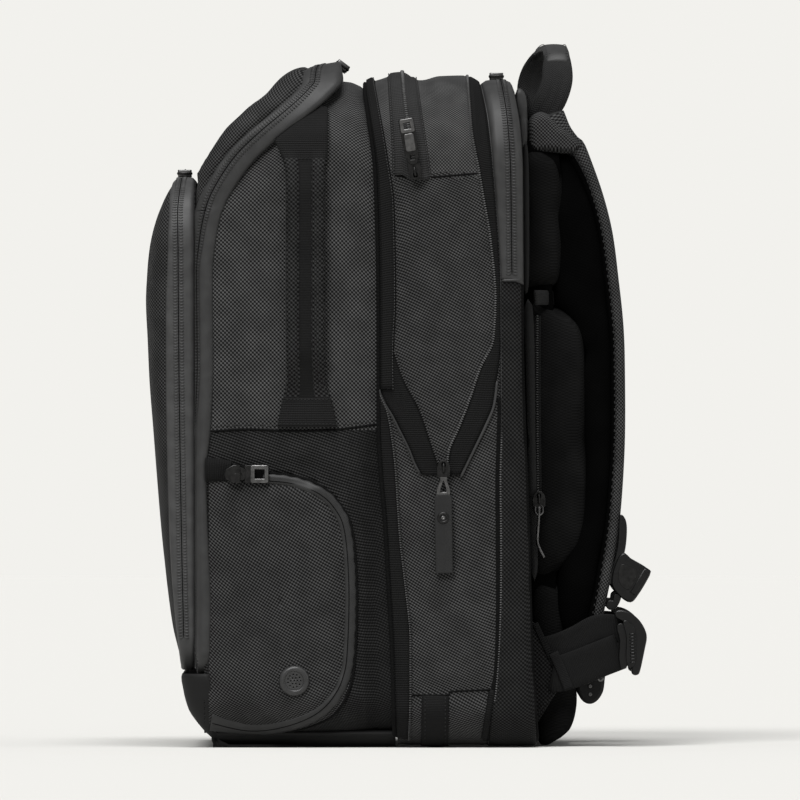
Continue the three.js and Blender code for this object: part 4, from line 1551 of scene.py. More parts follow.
def front_pocket():
    """The front pocket: its cloth, its coated band and its zip."""
    shares = loop_shares(130)

    def surface(s, v):
        return pocket_point(s, pocket_section(s)[1][-1] * v)

    rows = [t**1.5 for t in span(0, 1, 70)]
    pocket = slab("front_pocket_skin", surface, shares, rows, WEAVE_FRONT, 0.0, 2.5, closed=True)
    middle = slab(
        "middle", lambda z, v: Vector((
            6 * v - 3, POCKET_FACE_AT(z) + 0.35, z
        )), span(201, 270, 12), span(0, 1, 4), WEAVE_FRONT, 0, 1.6,
        out=(0, -1, 0),
    )
    pocket = join("front_pocket_skin", [pocket, middle])
    lay_front_cloth(pocket)
    part(pocket, "front_pocket", "weave_fabric", "front_pocket")
    finer = [s for s in loop_shares(240) if 0.004 < s < 1.996]

    def band(s, v):
        return pocket_point(s, 1 + (POCKET_BAND(pocket_skin.hoop(s, 0)[1]) - 1) * v)

    part(
        slab("front_pocket_band", band, finer, span(0, 1, 18), POCKET_COAT, edged(1.1, 7), 1.0),
        "front_pocket", "coated_fabric"
    )
    middle = Vector((0, -140, 240))
    spots, outs = slit_line(
        finer, pocket_point, lambda s: POCKET_SLIT(pocket_skin.hoop(s, 0)[1]), middle, 1.1
    )
    kept = [k for k, p in enumerate(spots) if p.z > 80]  # the hinge edge below has no zip
    zip_slit(
        "front_pocket_zip", respaced([spots[k] for k in kept], [outs[k] for k in kept], 2.2),
        "front_pocket", POCKET_COAT
    )


side_seam()
front_tapes()
pocket_doors()
pocket_tapes()
vent_eyelets()
pocket_garages()
side_handles()
base_boot()
front_panel()
front_pocket()


# ---------------------------------------------------------------- expansion gusset
MAIN_LEFT = {414: -3, 440: -4, 466: -5.6, 492: -7.2}
MAIN_RIGHT = {414: 25.8, 440: 22, 466: 18, 492: 14.6}
MAIN_ZIP_LINE = {414: 14.5, 440: 10.2, 457: 7.6, 475: 5.4, 492: 3.8}
RIGHT_COIL = {
    4: 66.4, 21: 69, 46: 72.9, 77: 75, 122: 76, 152: 76, 196: 75.6, 228: 76.6, 250: 77.4, 258: 74.8
}


def fold(obj, slot, *nodes):
    """Sets a piece on the rear section and gives it a mesh of its own."""
    part(obj, "rear_section", slot, *nodes)
    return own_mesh(obj)


def both_sides(name, build, s0, s1):
    """One piece from a strip on the right side and its mirror image."""
    return join(name, [build(s0, s1), build(2 - s1, 2 - s0)])


def gusset():
    """The expansion gusset's cloth, finer on top of the bag."""
    shares = loop_shares(130)

    def surface(s, v):
        y0 = gusset_skin.depth(TAPE_LEFT_AT, s) + 1.4
        y1 = gusset_skin.depth(REAR_SEAM_AT, s)
        return gusset_skin.at(s, y0 + (y1 - y0) * v)

    skin = slab(
        "expansion_gusset_skin", surface, shares, span(0, 1, 34), [WEAVE_GUSSET, WEAVE_FINE, LINING], 0.0,
        2.4, closed=True
    )
    lay_cloth(skin)
    for face in skin.data.polygons:
        inside = face.normal.x * face.center.x < 0 and abs(face.center.x) > 0.14
        face.material_index = 2 if inside else (1 if face.center.z > 418 * MM else 0)
    fold(skin, "weave_fabric", "expansion_gusset")


def gusset_details():
    """The tapes, coils, piping and stitches of the expansion zip's V, and the gusset's seams and webbing."""
    tip = gusset_skin.share(35, 199)
    rear = strip("rear_tape", gusset_skin, REAR_COIL, REAR_EDGE, tip, 2 - tip, TAPE, edged(1.5), 260)
    fold(rear, "smooth_fabric")
    shoulder = gusset_skin.share(-8, 289)
    arm = both_sides(
        "v_tape_front", lambda a, b: strip(
            "arm", gusset_skin, V_LEFT_OUT, V_LEFT_IN, a, b, TAPE, edged(1.3), 70
        ), tip, shoulder
    )
    fold(arm, "smooth_fabric")
    line = table_line(
        gusset_skin, REAR_COIL, gusset_skin.share(36, 209), 2 - gusset_skin.share(36, 209), 1.75, 1.0, -0.4
    )
    fold(lumps("rear_expansion_coil", line, (1.0, 2.2, 1.4), COIL), "smooth_fabric")
    inner = table_line(gusset_skin, V_LEFT_IN, gusset_skin.share(30, 207), shoulder, 1.9, 1.2, 0.2)
    fold(lumps("front_v_coil", inner, (1.0, 2.4, 1.2), COIL_DARK, mirror=True), "smooth_fabric")
    piping = table_line(
        gusset_skin, REAR_EDGE, gusset_skin.share(46, 197), gusset_skin.share(73, 268), 2.5, 1.3, 0.2
    )
    fold(cord_along("v_piping_rear", piping, 1.0, COATED_LIGHT, mirror=True), "coated_fabric")
    edge = table_line(
        gusset_skin, V_LEFT_OUT, gusset_skin.share(17, 200), gusset_skin.share(-12, 262), 2.5, 1.1, -0.3
    )
    fold(cord_along("v_piping_front", edge, 0.9, COATED_DARK, mirror=True), "coated_fabric")
    stitched = table_line(
        gusset_skin, V_LEFT_OUT, gusset_skin.share(17, 200), gusset_skin.share(-12, 262), 2.4, 1.2, -1.6
    )
    fold(lumps("v_stitches", stitched, (1.5, 0.7, 0.7), THREAD_LIGHT, mirror=True), "coated_fabric")
    for name, line in (
        ("gusset_upper_seam", [(-3, 418), (14, 416.5), (30, 417), (59, 419.5)]),
        ("gusset_lower_seam", [(10, 38.5), (38, 38.5), (39, 41), (73, 42.5)]),
    ):
        # each seam is a near-black cord that paints the shade in its hollow
        seam = cord_along(
            name, surface_line(gusset_skin, line, 2.5, 0.1, 4), 0.7, PAINTED_SHADOW_BLACK, sides=6, mirror=True
        )
        fold(seam, "weave_fabric")
    patch = tape_patch(
        "patch", [(27.5, 1.8), (27.7, 20), (28, 38)], {0: 20, 1: 20}, gusset_skin, WEBBING, 0.9, 0.9, 1.0,
        count=40
    )
    stitches = []
    for y in (20.5, 35.2):
        stitches.append(
            lumps("row", surface_line(gusset_skin, [(y, 5), (y, 36)], 2.6, 1.9, 2), (1.7, 0.7, 0.6), THREAD)
        )
    patch = join("gusset_foot_webbing_right", [patch] + stitches)
    fold(flipped(patch, "gusset_foot_webbing_left"), "webbing")
    fold(patch, "webbing")


def main_zip():
    """The main zip's tape over the top of the gusset, with its coil and stitches."""
    low = gusset_skin.share(10, 415)
    tape = strip(
        "main_tape", gusset_skin, MAIN_LEFT, MAIN_RIGHT, low, 2 - low, TOP_TAPE, edged(2.1, 10), 190
    )
    part(tape, "main_zip_carrier", "smooth_fabric", "main_zip_tape")
    line = table_line(
        gusset_skin, MAIN_ZIP_LINE, gusset_skin.share(13, 419), 2 - gusset_skin.share(13, 419), 1.8, 2.6
    )
    part(lumps("main_coil", line, (1.15, 3.0, 1.5), COIL), "main_zip_carrier", "smooth_fabric")
    rows = []
    for table, shift in ((MAIN_LEFT, 1.0), (MAIN_RIGHT, -1.0)):
        rows += table_line(gusset_skin, table, low, 2 - low, 2.3, 2.0, shift)
    part(
        lumps("main_tape_stitches", rows, (1.5, 0.8, 0.7), THREAD_LIGHT), "main_zip_carrier",
        "smooth_fabric"
    )


# ---------------------------------------------------------------- rear section
BACK_AT = smooth(BACK_FACE)
BACK_CORNER = 6.0
BACK_REACH = 148  # how far in the skin runs over the back
TUCK = 2.2  # how far the skin lies under the gusset's rear edge


class RearSkin(Skin):
    """The rear section turns a tight corner from its sides to its back."""

    def at(self, s, y, lift=0.0):
        z = self.hoop(s, y)[1]
        edge = BACK_AT(z)
        past = min(max((y - edge + BACK_CORNER) / BACK_CORNER, 0), 1)
        inset = BACK_CORNER * (1 - math.sqrt(1 - past * past))
        x, z, nx, nz = self.hoop(s, y, inset)
        out = self.puff(y, z) * abs(nx) * (1 - past) + lift * math.sqrt(1 - past * past * 0.9)
        return Vector((x + nx * out, min(y, edge) + lift * past, z + nz * out))


rear_skin = RearSkin(REAR_TOP, 1.0, puff=rear_puff)


def rear_shell():
    """The rear section's cloth, with the mesh of the back."""
    shares = loop_shares(130)

    def surface(s, v):
        y0 = rear_skin.depth(REAR_SEAM_AT, s)
        y1 = rear_skin.depth(BACK_AT, s)
        if v < 0:
            return rear_skin.at(s, y0 + v, -TUCK)
        if v <= 1:
            return rear_skin.at(s, y0 + (y1 - y0) * v, 0 if v else -TUCK)
        x, z = rear_skin.hoop(s, y1, BACK_CORNER + (v - 1) * BACK_REACH)[:2]
        return Vector((x, BACK_AT(z), z))

    # Below 0 a step is millimetres ahead of the seam, to 1 it is a share of the side, and past 1 of the back.
    steps = [-6, -3, 0, 0.015] + [
        math.sin(math.pi / 2 * t) for t in span(0, 1, 26)
    ][1:] + [1.03, 1.08, 1.16, 1.3, 1.5, 1.75, 1.98]
    skin = slab(
        "rear_shell_skin", surface, shares, steps, [WEAVE_REAR, FOAM, LINING], 0.0, 2.4, closed=True
    )
    lay_cloth(skin)
    for face in skin.data.polygons:
        back = abs(face.normal.y) > 0.75
        inside = face.normal.x * face.center.x < 0 and abs(face.center.x) > 0.14
        face.material_index = 1 if back and face.normal.y > 0 else (2 if inside or back else 0)
    part(skin, "rear_section", "weave_fabric", "rear_shell")


def rear_details():
    """The laptop compartment's band and zip, and the tape, coil and piping along the rear seam."""
    low = rear_skin.share(83, 341.5)
    left = {z: y + 0.6 for z, y in REAR_SEAM.items() if z > 300}
    band = strip(
        "laptop_band", rear_skin, left, LAPTOP_REAR, low, 2 - low, COATED_LIGHT, edged(1.5, 7), 220, 15
    )
    part(band, "rear_section", "coated_fabric")
    slit = table_line(
        rear_skin, LAPTOP_ZIP, rear_skin.share(83, 346), 2 - rear_skin.share(83, 346), 2.2, 1.6
    )
    zip_slit("laptop_zip", slit, "rear_section", COATED_LIGHT)
    hem = surface_line(rear_skin, [(76.5, 341.3), (91, 341.8)], 2, 1.2, 3)
    part(
        cord_along("laptop_band_hem", hem, 1.0, COATED_LIGHT, mirror=True), "rear_section", "coated_fabric"
    )
    before = {z: y - 4.6 for z, y in RIGHT_COIL.items()}
    after = {z: y + 2.6 for z, y in RIGHT_COIL.items()}
    s0, s1 = rear_skin.share(66, 5), rear_skin.share(75, 256)
    # near-black strips either side of the seam's coil paint the shade in the seam
    seam = both_sides(
        "rear_seam_strip", lambda a, b: strip(
            "edge", seam_skin, before, after, a, b, PAINTED_SHADOW_BLACK, edged(0.9, 4), 100
        ), s0, s1
    )
    part(seam, "rear_section", "smooth_fabric")
    teeth = table_line(seam_skin, RIGHT_COIL, rear_skin.share(66, 34), rear_skin.share(75, 252), 1.8, 1.1)
    part(
        lumps("rear_seam_coil", teeth, (1.05, 1.9, 1.4), COIL, mirror=True), "rear_section", "smooth_fabric"
    )
    foot = table_line(seam_skin, RIGHT_COIL, rear_skin.share(66, 6), rear_skin.share(72, 42), 2, 0.6, -3.0)
    part(cord_along("rear_foot_piping", foot, 2.6, TAPE, mirror=True), "rear_section", "smooth_fabric")


# ---------------------------------------------------------------- back pads
CLOTH_FRAMES = 20


def pad_shape(name, profile, half, finish, corner=9.0, count=72):
    """A closed pad from its side view, rounded off towards its two ends."""
    outline = spaced(
        spline([(0, y, z) for y, z in profile], 8, closed=True) + [Vector((0, *profile[0]))], 1.0
    )
    picks = np.linspace(0, len(outline) - 1, count, endpoint=False)
    outline = [outline[int(k)] for k in picks]
    middle = sum(outline, Vector()) / len(outline)
    xs = sorted({round(half * math.sin(math.pi / 2 * t), 3) for t in span(-1, 1, 61)})
    verts = []
    for x in xs:
        gap = half - abs(x)
        inset = corner - math.sqrt(max(0, corner**2 - (corner - gap) ** 2)) if gap < corner else 0
        for p in outline:
            away = p - middle
            verts.append(Vector((x, *(p - away.normalized() * min(inset, away.length * 0.9))[1:])))
    made = new_mesh(name, verts, tube_faces(len(xs), count), finish)
    fix_normals(made)
    return made


def pumped(obj, cap, voxel=5.0, pressure=4.0):
    """The pad after air has swelled it as cloth: remeshed, simulated, and kept within cap of its start."""
    name = obj.name
    remesh = obj.modifiers.new("voxels", "REMESH")
    remesh.mode = "VOXEL"
    remesh.voxel_size = voxel * MM
    obj = baked(obj)
    rest = points_of(obj)
    cloth = obj.modifiers.new("cloth", "CLOTH")
    cloth.settings.use_pressure = True
    cloth.settings.uniform_pressure_force = pressure
    cloth.settings.effector_weights.gravity = 0
    cloth.settings.tension_stiffness = 12
    cloth.settings.bending_stiffness = 2
    cloth.collision_settings.use_collision = False
    cloth.point_cache.frame_start, cloth.point_cache.frame_end = 1, CLOTH_FRAMES
    for step in range(1, CLOTH_FRAMES + 1):
        bpy.context.scene.frame_set(step)
    obj = baked(obj)
    bpy.context.scene.frame_set(1)
    move = points_of(obj) - rest
    far = np.linalg.norm(move, axis=1, keepdims=True)
    now = rest + move * np.minimum(1, cap * MM / np.maximum(far, 1e-9))
    obj.data.vertices.foreach_set("co", now.ravel())
    obj.data.update()
    fine = obj.modifiers.new("fine", "SUBSURF")
    fine.levels = fine.render_levels = 1
    obj = baked(obj)
    obj.name = name
    obj.data.polygons.foreach_set("use_smooth", [True] * len(obj.data.polygons))
    lay_pad_cloth(obj)
    paint(obj, FOAM)
    return obj


def back_pads():
    """The yoke and the three mesh pads against the wearer's back."""
    yoke = pad_shape(
        "yoke_lobe",
        [(91.5, 438), (95.2, 442), (95.6, 460), (94.6, 476), (91, 482), (87.5, 480), (88, 460), (90, 442)],
        108, COATED, 4
    )
    part(yoke, "rear_section", "coated_fabric", "yoke")
    upper = pad_shape(
        "back_pad_upper_cushion",
        [
            (93, 337), (105, 335.5), (116, 336.5), (119.6, 342), (120, 380), (119.4, 416), (115, 431),
            (104, 437), (94, 436), (92.6, 390)
        ],
        107, FOAM, 12,
    )
    lower = pad_shape(
        "back_pad_lower_cushion",
        [
            (96, 321), (108, 323), (119, 322.5), (131, 313), (134.6, 300), (136.6, 230), (136.6, 174),
            (133, 144), (123, 130), (110, 124), (100, 126), (97, 200)
        ],
        107, FOAM, 12,
    )
    base = pad_shape(
        "back_pad_base_cushion",
        [
            (99, 119), (112, 121), (121.4, 117), (122.4, 90), (124, 62), (129.6, 42), (129.6, 26),
            (125, 10), (113, 1.2), (104, 1.2), (101, 60)
        ],
        104, FOAM, 12,
    )
    for pad, node, cap in (
        (upper, "back_pad_upper", 2.0), (lower, "back_pad_lower", 2.4), (base, "back_pad_base", 2.0)
    ):
        pad = pumped(pad, cap)
        part(pad, "rear_section", "mesh_foam", node)


def back_core():
    """The dark foam that the three pads are sewn to, painted near black as the shade between and around the
    pads.
    """
    core = pad_shape(
        "back_pad_core",
        [(92.8, 437), (108, 436.5), (119, 434), (120.5, 424), (115, 408), (114, 340), (115, 322), (126, 306),
         (129, 280), (129, 165), (122, 142), (117, 125), (117.5, 60), (118, 20), (106, 6), (101, 30),
         (97, 160), (93.4, 300)],
        99, MESH_AND_PAINTED_SHADOW, 8,
    )
    part(core, "rear_section", "mesh_foam")


def back_trim():
    """The pass-through band between the pads, and the pads' flanges, piping and side zip."""
    line = [Vector((x, 100 + 17.5 * (1 - abs(x / 114) ** 6), 329)) for x in span(-113, 113, 60)]
    band = sweep(
        "pass_through_band", frames(
            line, [Vector((0, 1, 0))] * 60
        ), flat_section(11, 2.2, 0.2), WEBBING_LIGHT
    )
    part(band, "rear_section", "webbing")
    flange = pad_shape(
        "lower_pad_flange",
        [(93.2, 322), (99.6, 321), (101.5, 240), (103, 150), (103, 128), (98.5, 126), (96, 200), (94, 290)],
        109, SMOOTH, 2.5, 60
    )
    part(flange, "rear_section", "smooth_fabric")
    flange = pad_shape(
        "upper_pad_flange", [(92.8, 438), (96, 437), (97, 390), (96.4, 337), (93, 336), (92.8, 380)], 108.5,
        SMOOTH, 1.5, 60
    )
    part(flange, "rear_section", "smooth_fabric")
    zip_line = [Vector((108.4, 103.4 + 0.6 * math.sin(z / 60), z)) for z in np.arange(186, 316, 1.8)]
    teeth = frames(zip_line, [Vector((1, 0.2, 0)).normalized()] * len(zip_line))
    part(
        lumps("back_pocket_coil", teeth, (1.0, 2.4, 1.3), COIL_DARK, (0, 0, -0.6)), "rear_section",
        "smooth_fabric"
    )
    tape = sweep("back_pocket_tape", teeth, flat_section(5.5, 1.2), TAPE)
    tape.data.transform(Matrix.Translation((-0.0016, 0, 0)))
    part(tape, "rear_section", "smooth_fabric")
    edge = [(127, 117), (127.4, 100), (126.8, 82)]
    path = [Vector((96, y, z)) for y, z in edge]
    spots = spaced(spline(path, 8), 3)
    made = cord_along(
        "base_pad_edge", frames(spots, [Vector((1, 0.3, 0))] * len(spots)), 0.9, COATED, mirror=True
    )
    part(made, "rear_section", "smooth_fabric")


# ---------------------------------------------------------------- shoulder straps
STRAP_OUTER = [
    (5, 1), (10, -10), (17, -18), (24, -24), (36, -52), (45, -85), (50, -122), (53.5, -155), (54.6, -188),
    (54.4, -244), (50.5, -300), (44, -340), (39, -368), (36.5, -395), (34, -424),
]
STRAP_FRAME = (
    Matrix.Translation((72, 108.5, 463)) @ Matrix.Rotation(
        math.radians(-2), 4, "Y"
    ) @ Matrix.Rotation(math.radians(12), 4, "Z")
)
STRAP_HALF = 30.0


def strap_frames(depth, step=4.0):
    """Frames down a strap, depth millimetres under its outer face."""
    line = spaced(spline([(0, y, z) for y, z in STRAP_OUTER], 8), step)
    made = []
    for i, p in enumerate(line):
        ahead = (line[min(i + 1, len(line) - 1)] - line[max(i - 1, 0)]).normalized()
        out = Vector((0, -ahead[2], ahead[1]))
        if out[1] < 0:
            out = -out
        place = STRAP_FRAME @ (p - out * depth)
        turn = STRAP_FRAME.to_3x3()
        along, out = turn @ ahead, turn @ out
        made.append((place, along, out.cross(along), out))
    return made


def strap_width(t):
    """The strap's share of its full width: it gathers at the yoke and tapers to a rounded tip."""
    tip = max(0.0, (t - 0.86) / 0.14)
    gather = 1 - 0.12 * math.exp(-t * 14)
    return gather * max(0.02, math.sqrt(max(0, 1 - tip**2.6))) * (1 - 0.25 * ease((t - 0.8) / 0.15))


# The depth at heights of the near-black filler under the strap, whose bulk paints the shade between the strap
# and the pads.
SHADOW_CUSHION_DEPTH = smooth({
    60: 10, 78: 16, 100: 25, 125: 28, 150: 21, 200: 18, 290: 19, 240: 21, 270: 23, 300: 25, 312: 28,
    330: 38, 350: 37, 380: 32, 410: 31, 430: 28, 450: 15
})


def strap_shadow_cushion_frames():
    """The near-black filler under the strap's inner half, which paints the shade between strap and pads: down
    the strap, set in from its outer edge.
    """
    made = []
    for place, along, across, out in strap_frames(0)[8:-8]:
        deep = 9.0 + SHADOW_CUSHION_DEPTH(place[2]) / 2
        made.append((place - across * 12.5 - out * deep, along, across, out))
    return made


SHADOW_CUSHION_SIZE = (34, 20)  # the filler's width and depth before its depth is scaled


def shoulder_straps():
    """The straps: a woven cover, a mesh lining, a near-black filler under the inner half that paints the
    shade between strap and pads, and stitched edges.
    """
    def narrowing(t):
        w = strap_width(t)
        return (w, min(1, 0.35 + w) * (1 + 1.1 * math.exp(-((t / 0.07) ** 2))))

    cover = sweep(
        "shoulder_strap_cover_right", strap_frames(4.2), flat_section(
            2 * STRAP_HALF, 8.4, 0.6, 13, 6
        ), STRAP_EDGE, narrowing
    )
    lining = sweep(
        "shoulder_strap_lining_right", strap_frames(8.5, 3)[12:], flat_section(
            2 * STRAP_HALF - 5, 3.6, 1.0, 13, 4
        ), MESH_AND_PAINTED_SHADOW, narrowing
    )
    shadow_cushion_line = strap_shadow_cushion_frames()

    def filling(t):
        height = shadow_cushion_line[round(t * (len(shadow_cushion_line) - 1))][0][2]
        return min(1, 6 * t + 0.3, 6 * (1 - t) + 0.3), SHADOW_CUSHION_DEPTH(height) / SHADOW_CUSHION_SIZE[1]

    shadow_cushion = sweep(
        "shoulder_strap_cushion_right", shadow_cushion_line, flat_section(
            *SHADOW_CUSHION_SIZE, 0, 7, 8
        ), MESH_AND_PAINTED_SHADOW, filling,
    )
    rows = []
    inner = strap_frames(8.0, 2.6)
    for side in (-1, 1):
        for i, (place, along, across, out) in enumerate(inner[4:-14]):
            w = strap_width((i + 4) / (len(inner) - 1))
            zigzag = 0.7 if i % 2 else -0.7
            rows.append((place + across * side * (STRAP_HALF - 1.2) * w + out * zigzag, along, across, out))
    binding = lumps("shoulder_strap_stitches_right", rows, (2.2, 1.0, 1.0), THREAD)
    for piece, slot, nodes in (
        (cover, "weave_fabric", ("shoulder_strap",)), (lining, "mesh_foam", ()), (shadow_cushion, "mesh_foam", ()),
        (binding, "webbing", ()),
    ):
        left = flipped(piece, piece.name.replace("right", "left"))
        for side, one in (("right", piece), ("left", left)):
            part(one, f"shoulder_strap_{side}", slot, *[f"{n}_{side}" for n in nodes])


def strap_roots():
    """The padded fold with which each strap leaves the yoke."""
    outline = [
        (96.5, 459), (103, 465), (111, 463.6), (122, 455), (131, 446.5), (135.6, 440), (130, 435.5),
        (120, 435), (108, 436), (98, 437), (96, 448)
    ]
    fold_pad = pad_shape("shoulder_strap_root_right", outline, 29, STRAP_EDGE, 7)
    fold_pad.data.transform(Matrix.Translation((0.071, 0, 0)))
    left = flipped(fold_pad, "shoulder_strap_root_left")
    for side, one in (("right", fold_pad), ("left", left)):
        part(one, f"shoulder_strap_{side}", "weave_fabric")


def in_side(points, x, width, thickness, finish=WEBBING, name="ribbon", bulge=0.0):
    """A flat ribbon that lies square to the side view, from its centreline's (y, z) points."""
    line = spaced(spline([(0, y, z) for y, z in points], 8), 2.5)
    spots = [Vector((x(p[1]) if callable(x) else x, p[1], p[2])) for p in line]
    return sweep(
        name, frames(spots, [Vector((1, 0, 0))] * len(spots)), flat_section(width, thickness, bulge), finish
    )


YZ = Matrix(((0, 0, 1, 0), (1, 0, 0, 0), (0, 1, 0, 0), (0, 0, 0, 1)))


def side_plate(name, points, x0, x1, finish, bevel):
    """A solid seen square-on from the side, between two widths."""
    place = Matrix.Translation(((x0 + x1) / 2, 0, 0)) @ YZ
    return plate(name, [points], x1 - x0, finish, bevel, place)


def turned_outline(points, per_span=5):
    return [(p[0], p[1]) for p in spline([(y, z, 0) for y, z in points], per_span, closed=True)]


def lower_anchors():
    """The wing that anchors each strap's lower webbing, and the webbing's run and tail up to the strap."""
    wing = side_plate(
        "wing", [(99, 91), (104, 87), (119.5, 52), (120, 46), (117, 42), (103, 19), (99, 21)], 111.6, 115.4,
        WEAVE_REAR, 0.8
    )
    rows = []
    for a, b in (((104.5, 82), (117, 50)), ((115.6, 44), (104, 25))):
        spots = spaced([Vector((115.5, *a)), Vector((115.5, *b))], 2.6)
        rows += frames(spots, [Vector((1, 0, 0))] * len(spots))
    binding = in_side([(101, 90.5), (110.5, 70), (119.5, 50)], 115.6, 4.6, 1.6, finish=TAPE)
    wing = join("strap_wing_patch_right", [wing, binding, lumps("rows", rows, (1.7, 0.8, 0.7), THREAD)])
    main = in_side(
        [(113.5, 54), (118, 53.4), (126, 55.5), (138, 60), (150, 64.8), (163.5, 70)],
        lambda y: 117.2 - 1.4 * ease((y - 113) / 14), 26.5, 1.9, name="strap_webbing_run_right", bulge=0.2,
    )
    tail = in_side(
        [(106, 70), (118, 73), (132, 79), (148, 87), (166, 86)], lambda y: 112.5, 20, 1.8,
        name="strap_webbing_tail_right"
    )
    fold_line = in_side([(114.5, 69), (121, 54.5), (126, 41.5)], 118.4, 7.5, 1.6, finish=WEBBING)
    main = join("strap_webbing_run_right", [main, fold_line])
    for piece in (main, tail):
        piece.name = piece.name.replace(".001", "")
        left = flipped(piece, piece.name.replace("right", "left"))
        for side, one in (("right", piece), ("left", left)):
            if "run" in one.name:
                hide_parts(f"strap_webbing_{side}")
            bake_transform(one)
    both(wing, "rear_section", "weave_fabric", "strap_wing_right")


def buckles():
    """The ladder locks, the halves of the sternum clip, and each strap's rivet and end tongue."""
    lock_outline = turned_outline(
        [(160.5, 98.6), (165, 99.2), (171, 97), (176.5, 92.5), (180.6, 86), (182, 80), (180.6, 72),
         (177.4, 57), (175.6, 53.6), (172.6, 55), (173.6, 66), (174, 76), (172, 85), (167, 92), (161, 95.8)]
    )
    body = side_plate("lock", lock_outline, 98, 126, PLASTIC, 0.9)
    bar = side_plate(
        "bar",
        turned_outline([
            (161.5, 88), (165, 90), (168.5, 86), (169.6, 70), (168, 60), (164.5, 58.5), (163, 66),
            (163.6, 78)
        ]),
        99.5, 124.5, PLASTIC, 0.9
    )
    web_outline = turned_outline([
        (166, 92), (173, 88), (174.8, 76), (174, 62), (170, 58.8), (168, 66), (168.4, 80)
    ])
    webs = [side_plate("web", web_outline, x, x + 2.6, PLASTIC, 0.5) for x in (96.8, 124.6)]
    spots = [Vector((127.4, 172.4 + 0.1 * (76 - z) * 0.3, z)) for z in np.arange(62, 84, 2.3)]
    ribs = lumps("ribs", frames(spots, [Vector((1, 0, 0))] * len(spots)), (1.2, 4.6, 1.4), PLASTIC)
    lock = join("ladder_lock_frame_right", [body, bar, *webs, ribs])
    blade = side_plate(
        "blade",
        turned_outline([
            (163.6, 168), (166.6, 167), (168, 160), (167, 146), (163.6, 133), (158.6, 121), (155.6, 121.6),
            (160, 136), (162.6, 150)
        ]),
        89, 103, PLASTIC, 0.6
    )
    jaw = side_plate(
        "jaw", turned_outline(
            [
                (165.4, 140.6), (172, 136), (183.4, 129.4), (184.6, 127), (181.6, 121), (176, 112),
                (171, 106.8), (164, 111), (158.4, 119), (160, 131)
            ],
            4
        ),
        88, 104, PLASTIC, 1.2,
    )
    slot_bar = side_plate(
        "slot_bar", [(181.6, 129.8), (184.2, 128.4), (174.4, 111.6), (171.8, 113.2)], 87.2, 104.8, PLASTIC,
        0.6
    )
    hook = side_plate(
        "hook",
        turned_outline([
            (161.6, 111.6), (163.6, 109), (160.6, 102.4), (156, 100.8), (153.8, 103.6), (155.4, 106.4),
            (158.6, 106.6), (159.4, 110)
        ]),
        92, 100, PLASTIC, 0.7
    )
    groove = side_plate(
        "groove", turned_outline([(164, 133), (172, 130.6), (176, 127), (170, 115.4), (163, 121)], 4),
        103.8, 104.5, METAL_DARK, 0.2
    )
    clip = join("sternum_clip_body_right", [blade, jaw, slot_bar, hook, groove])
    for piece, name in ((lock, "ladder_lock"), (clip, "sternum_clip")):
        both(piece, f"{name}_right", "moulded_plastic", f"{name}_right")
    rivet = ring_piece(
        "rivet", STRAP_FRAME @ Matrix.Translation((22, 35, -414)) @ YZ @ Matrix.Translation((0, 0, 8)),
        [(0.3, 0.9), (2.0, 0.6), (2.6, 0), (0.3, 0)], METAL
    )
    tongue = [(134.4, 66), (149.6, 66), (150, 46), (147.4, 37.4), (142, 33.2), (136.6, 36), (133.8, 45)]
    tongue = side_plate("tongue", turned_outline(tongue, 6), 78, 91, SMOOTH, 2.2)
    dots = [
        ring_piece(
            "dot", Matrix.Translation((91, 141.8, z)) @ YZ,
            [(0.2, 0.5), (1.1, 0.4), (1.5, -0.2), (0.2, -0.2)], METAL, 16
        )
        for z in (38, 44)
    ]
    rivet = join("strap_rivet_right", [rivet, tongue, *dots])
    both(rivet, "shoulder_strap_right", "dark_metal")


# ---------------------------------------------------------------- top handle
def top_handle():
    """The grab handle: a webbing loop with a sewn wrap, and the two anchors that it is sewn into."""
    right = [
        (36, 103, 458), (38.5, 107, 466), (40, 113.5, 476), (39, 117.6, 488), (34, 118, 499),
        (22, 117.5, 509), (0, 115.5, 513)
    ]
    left = [
        (-22, 110, 508.5), (-33, 104, 498), (-37, 100.5, 486), (-36, 101, 474), (-34, 102, 464),
        (-33, 102, 457)
    ]
    line = spaced(spline(right + left, 8), 2.6)
    outs = []
    for p in line:
        away = p - Vector((0, p[1], 474))
        if p[2] < 474:
            away = Vector((p[0], 0, 0))
        outs.append(away.normalized())
    spots = frames(line, outs)
    strap = sweep(
        "grip", spots, flat_section(23, 4.4, 0.4), WEBBING_LIGHT, lambda t: (
            1 - 0.24 * math.exp(-(((t - 0.5) / 0.2) ** 4)), 1
        )
    )
    count = len(spots)
    middle = spots[int(count * 0.3) : int(count * 0.68)]
    wrap = sweep(
        "wrap", middle, flat_section(19, 6.6, 0.5), COATED,
        lambda t: (1, 0.75 + 0.25 * ease(min(t, 1 - t) * 10))
    )
    rows = []
    for place, along, across, out in middle[2:-2]:
        for side in (-1, 1):
            rows.append((place + across * side * 7.8 + out * 3.4, along, across, out))
    ends = []
    for k in (3, len(middle) - 4):
        place, along, across, out = middle[k]
        for step in np.arange(-7, 7.1, 2.4):
            ends.append((place + across * step + out * 3.5, across, along, out))
    stitches = lumps("handle_rows", rows + ends, (1.8, 0.7, 0.6), THREAD_LIGHT)
    handle = join("top_handle_grip", [strap, wrap, stitches])
    part(handle, "top_handle", "webbing", "top_handle")
    for name, x in (("right", 36), ("left", -34)):
        anchor = sweep(
            f"handle_anchor_{name}",
            frames(
                [Vector((x, 93.6, z)) for z in span(446, 482, 14)], [Vector((0, 1, 0))] * 14
            ), flat_section(26, 3.0, 0.5), WEBBING,
        )
        part(anchor, "rear_section", "webbing")


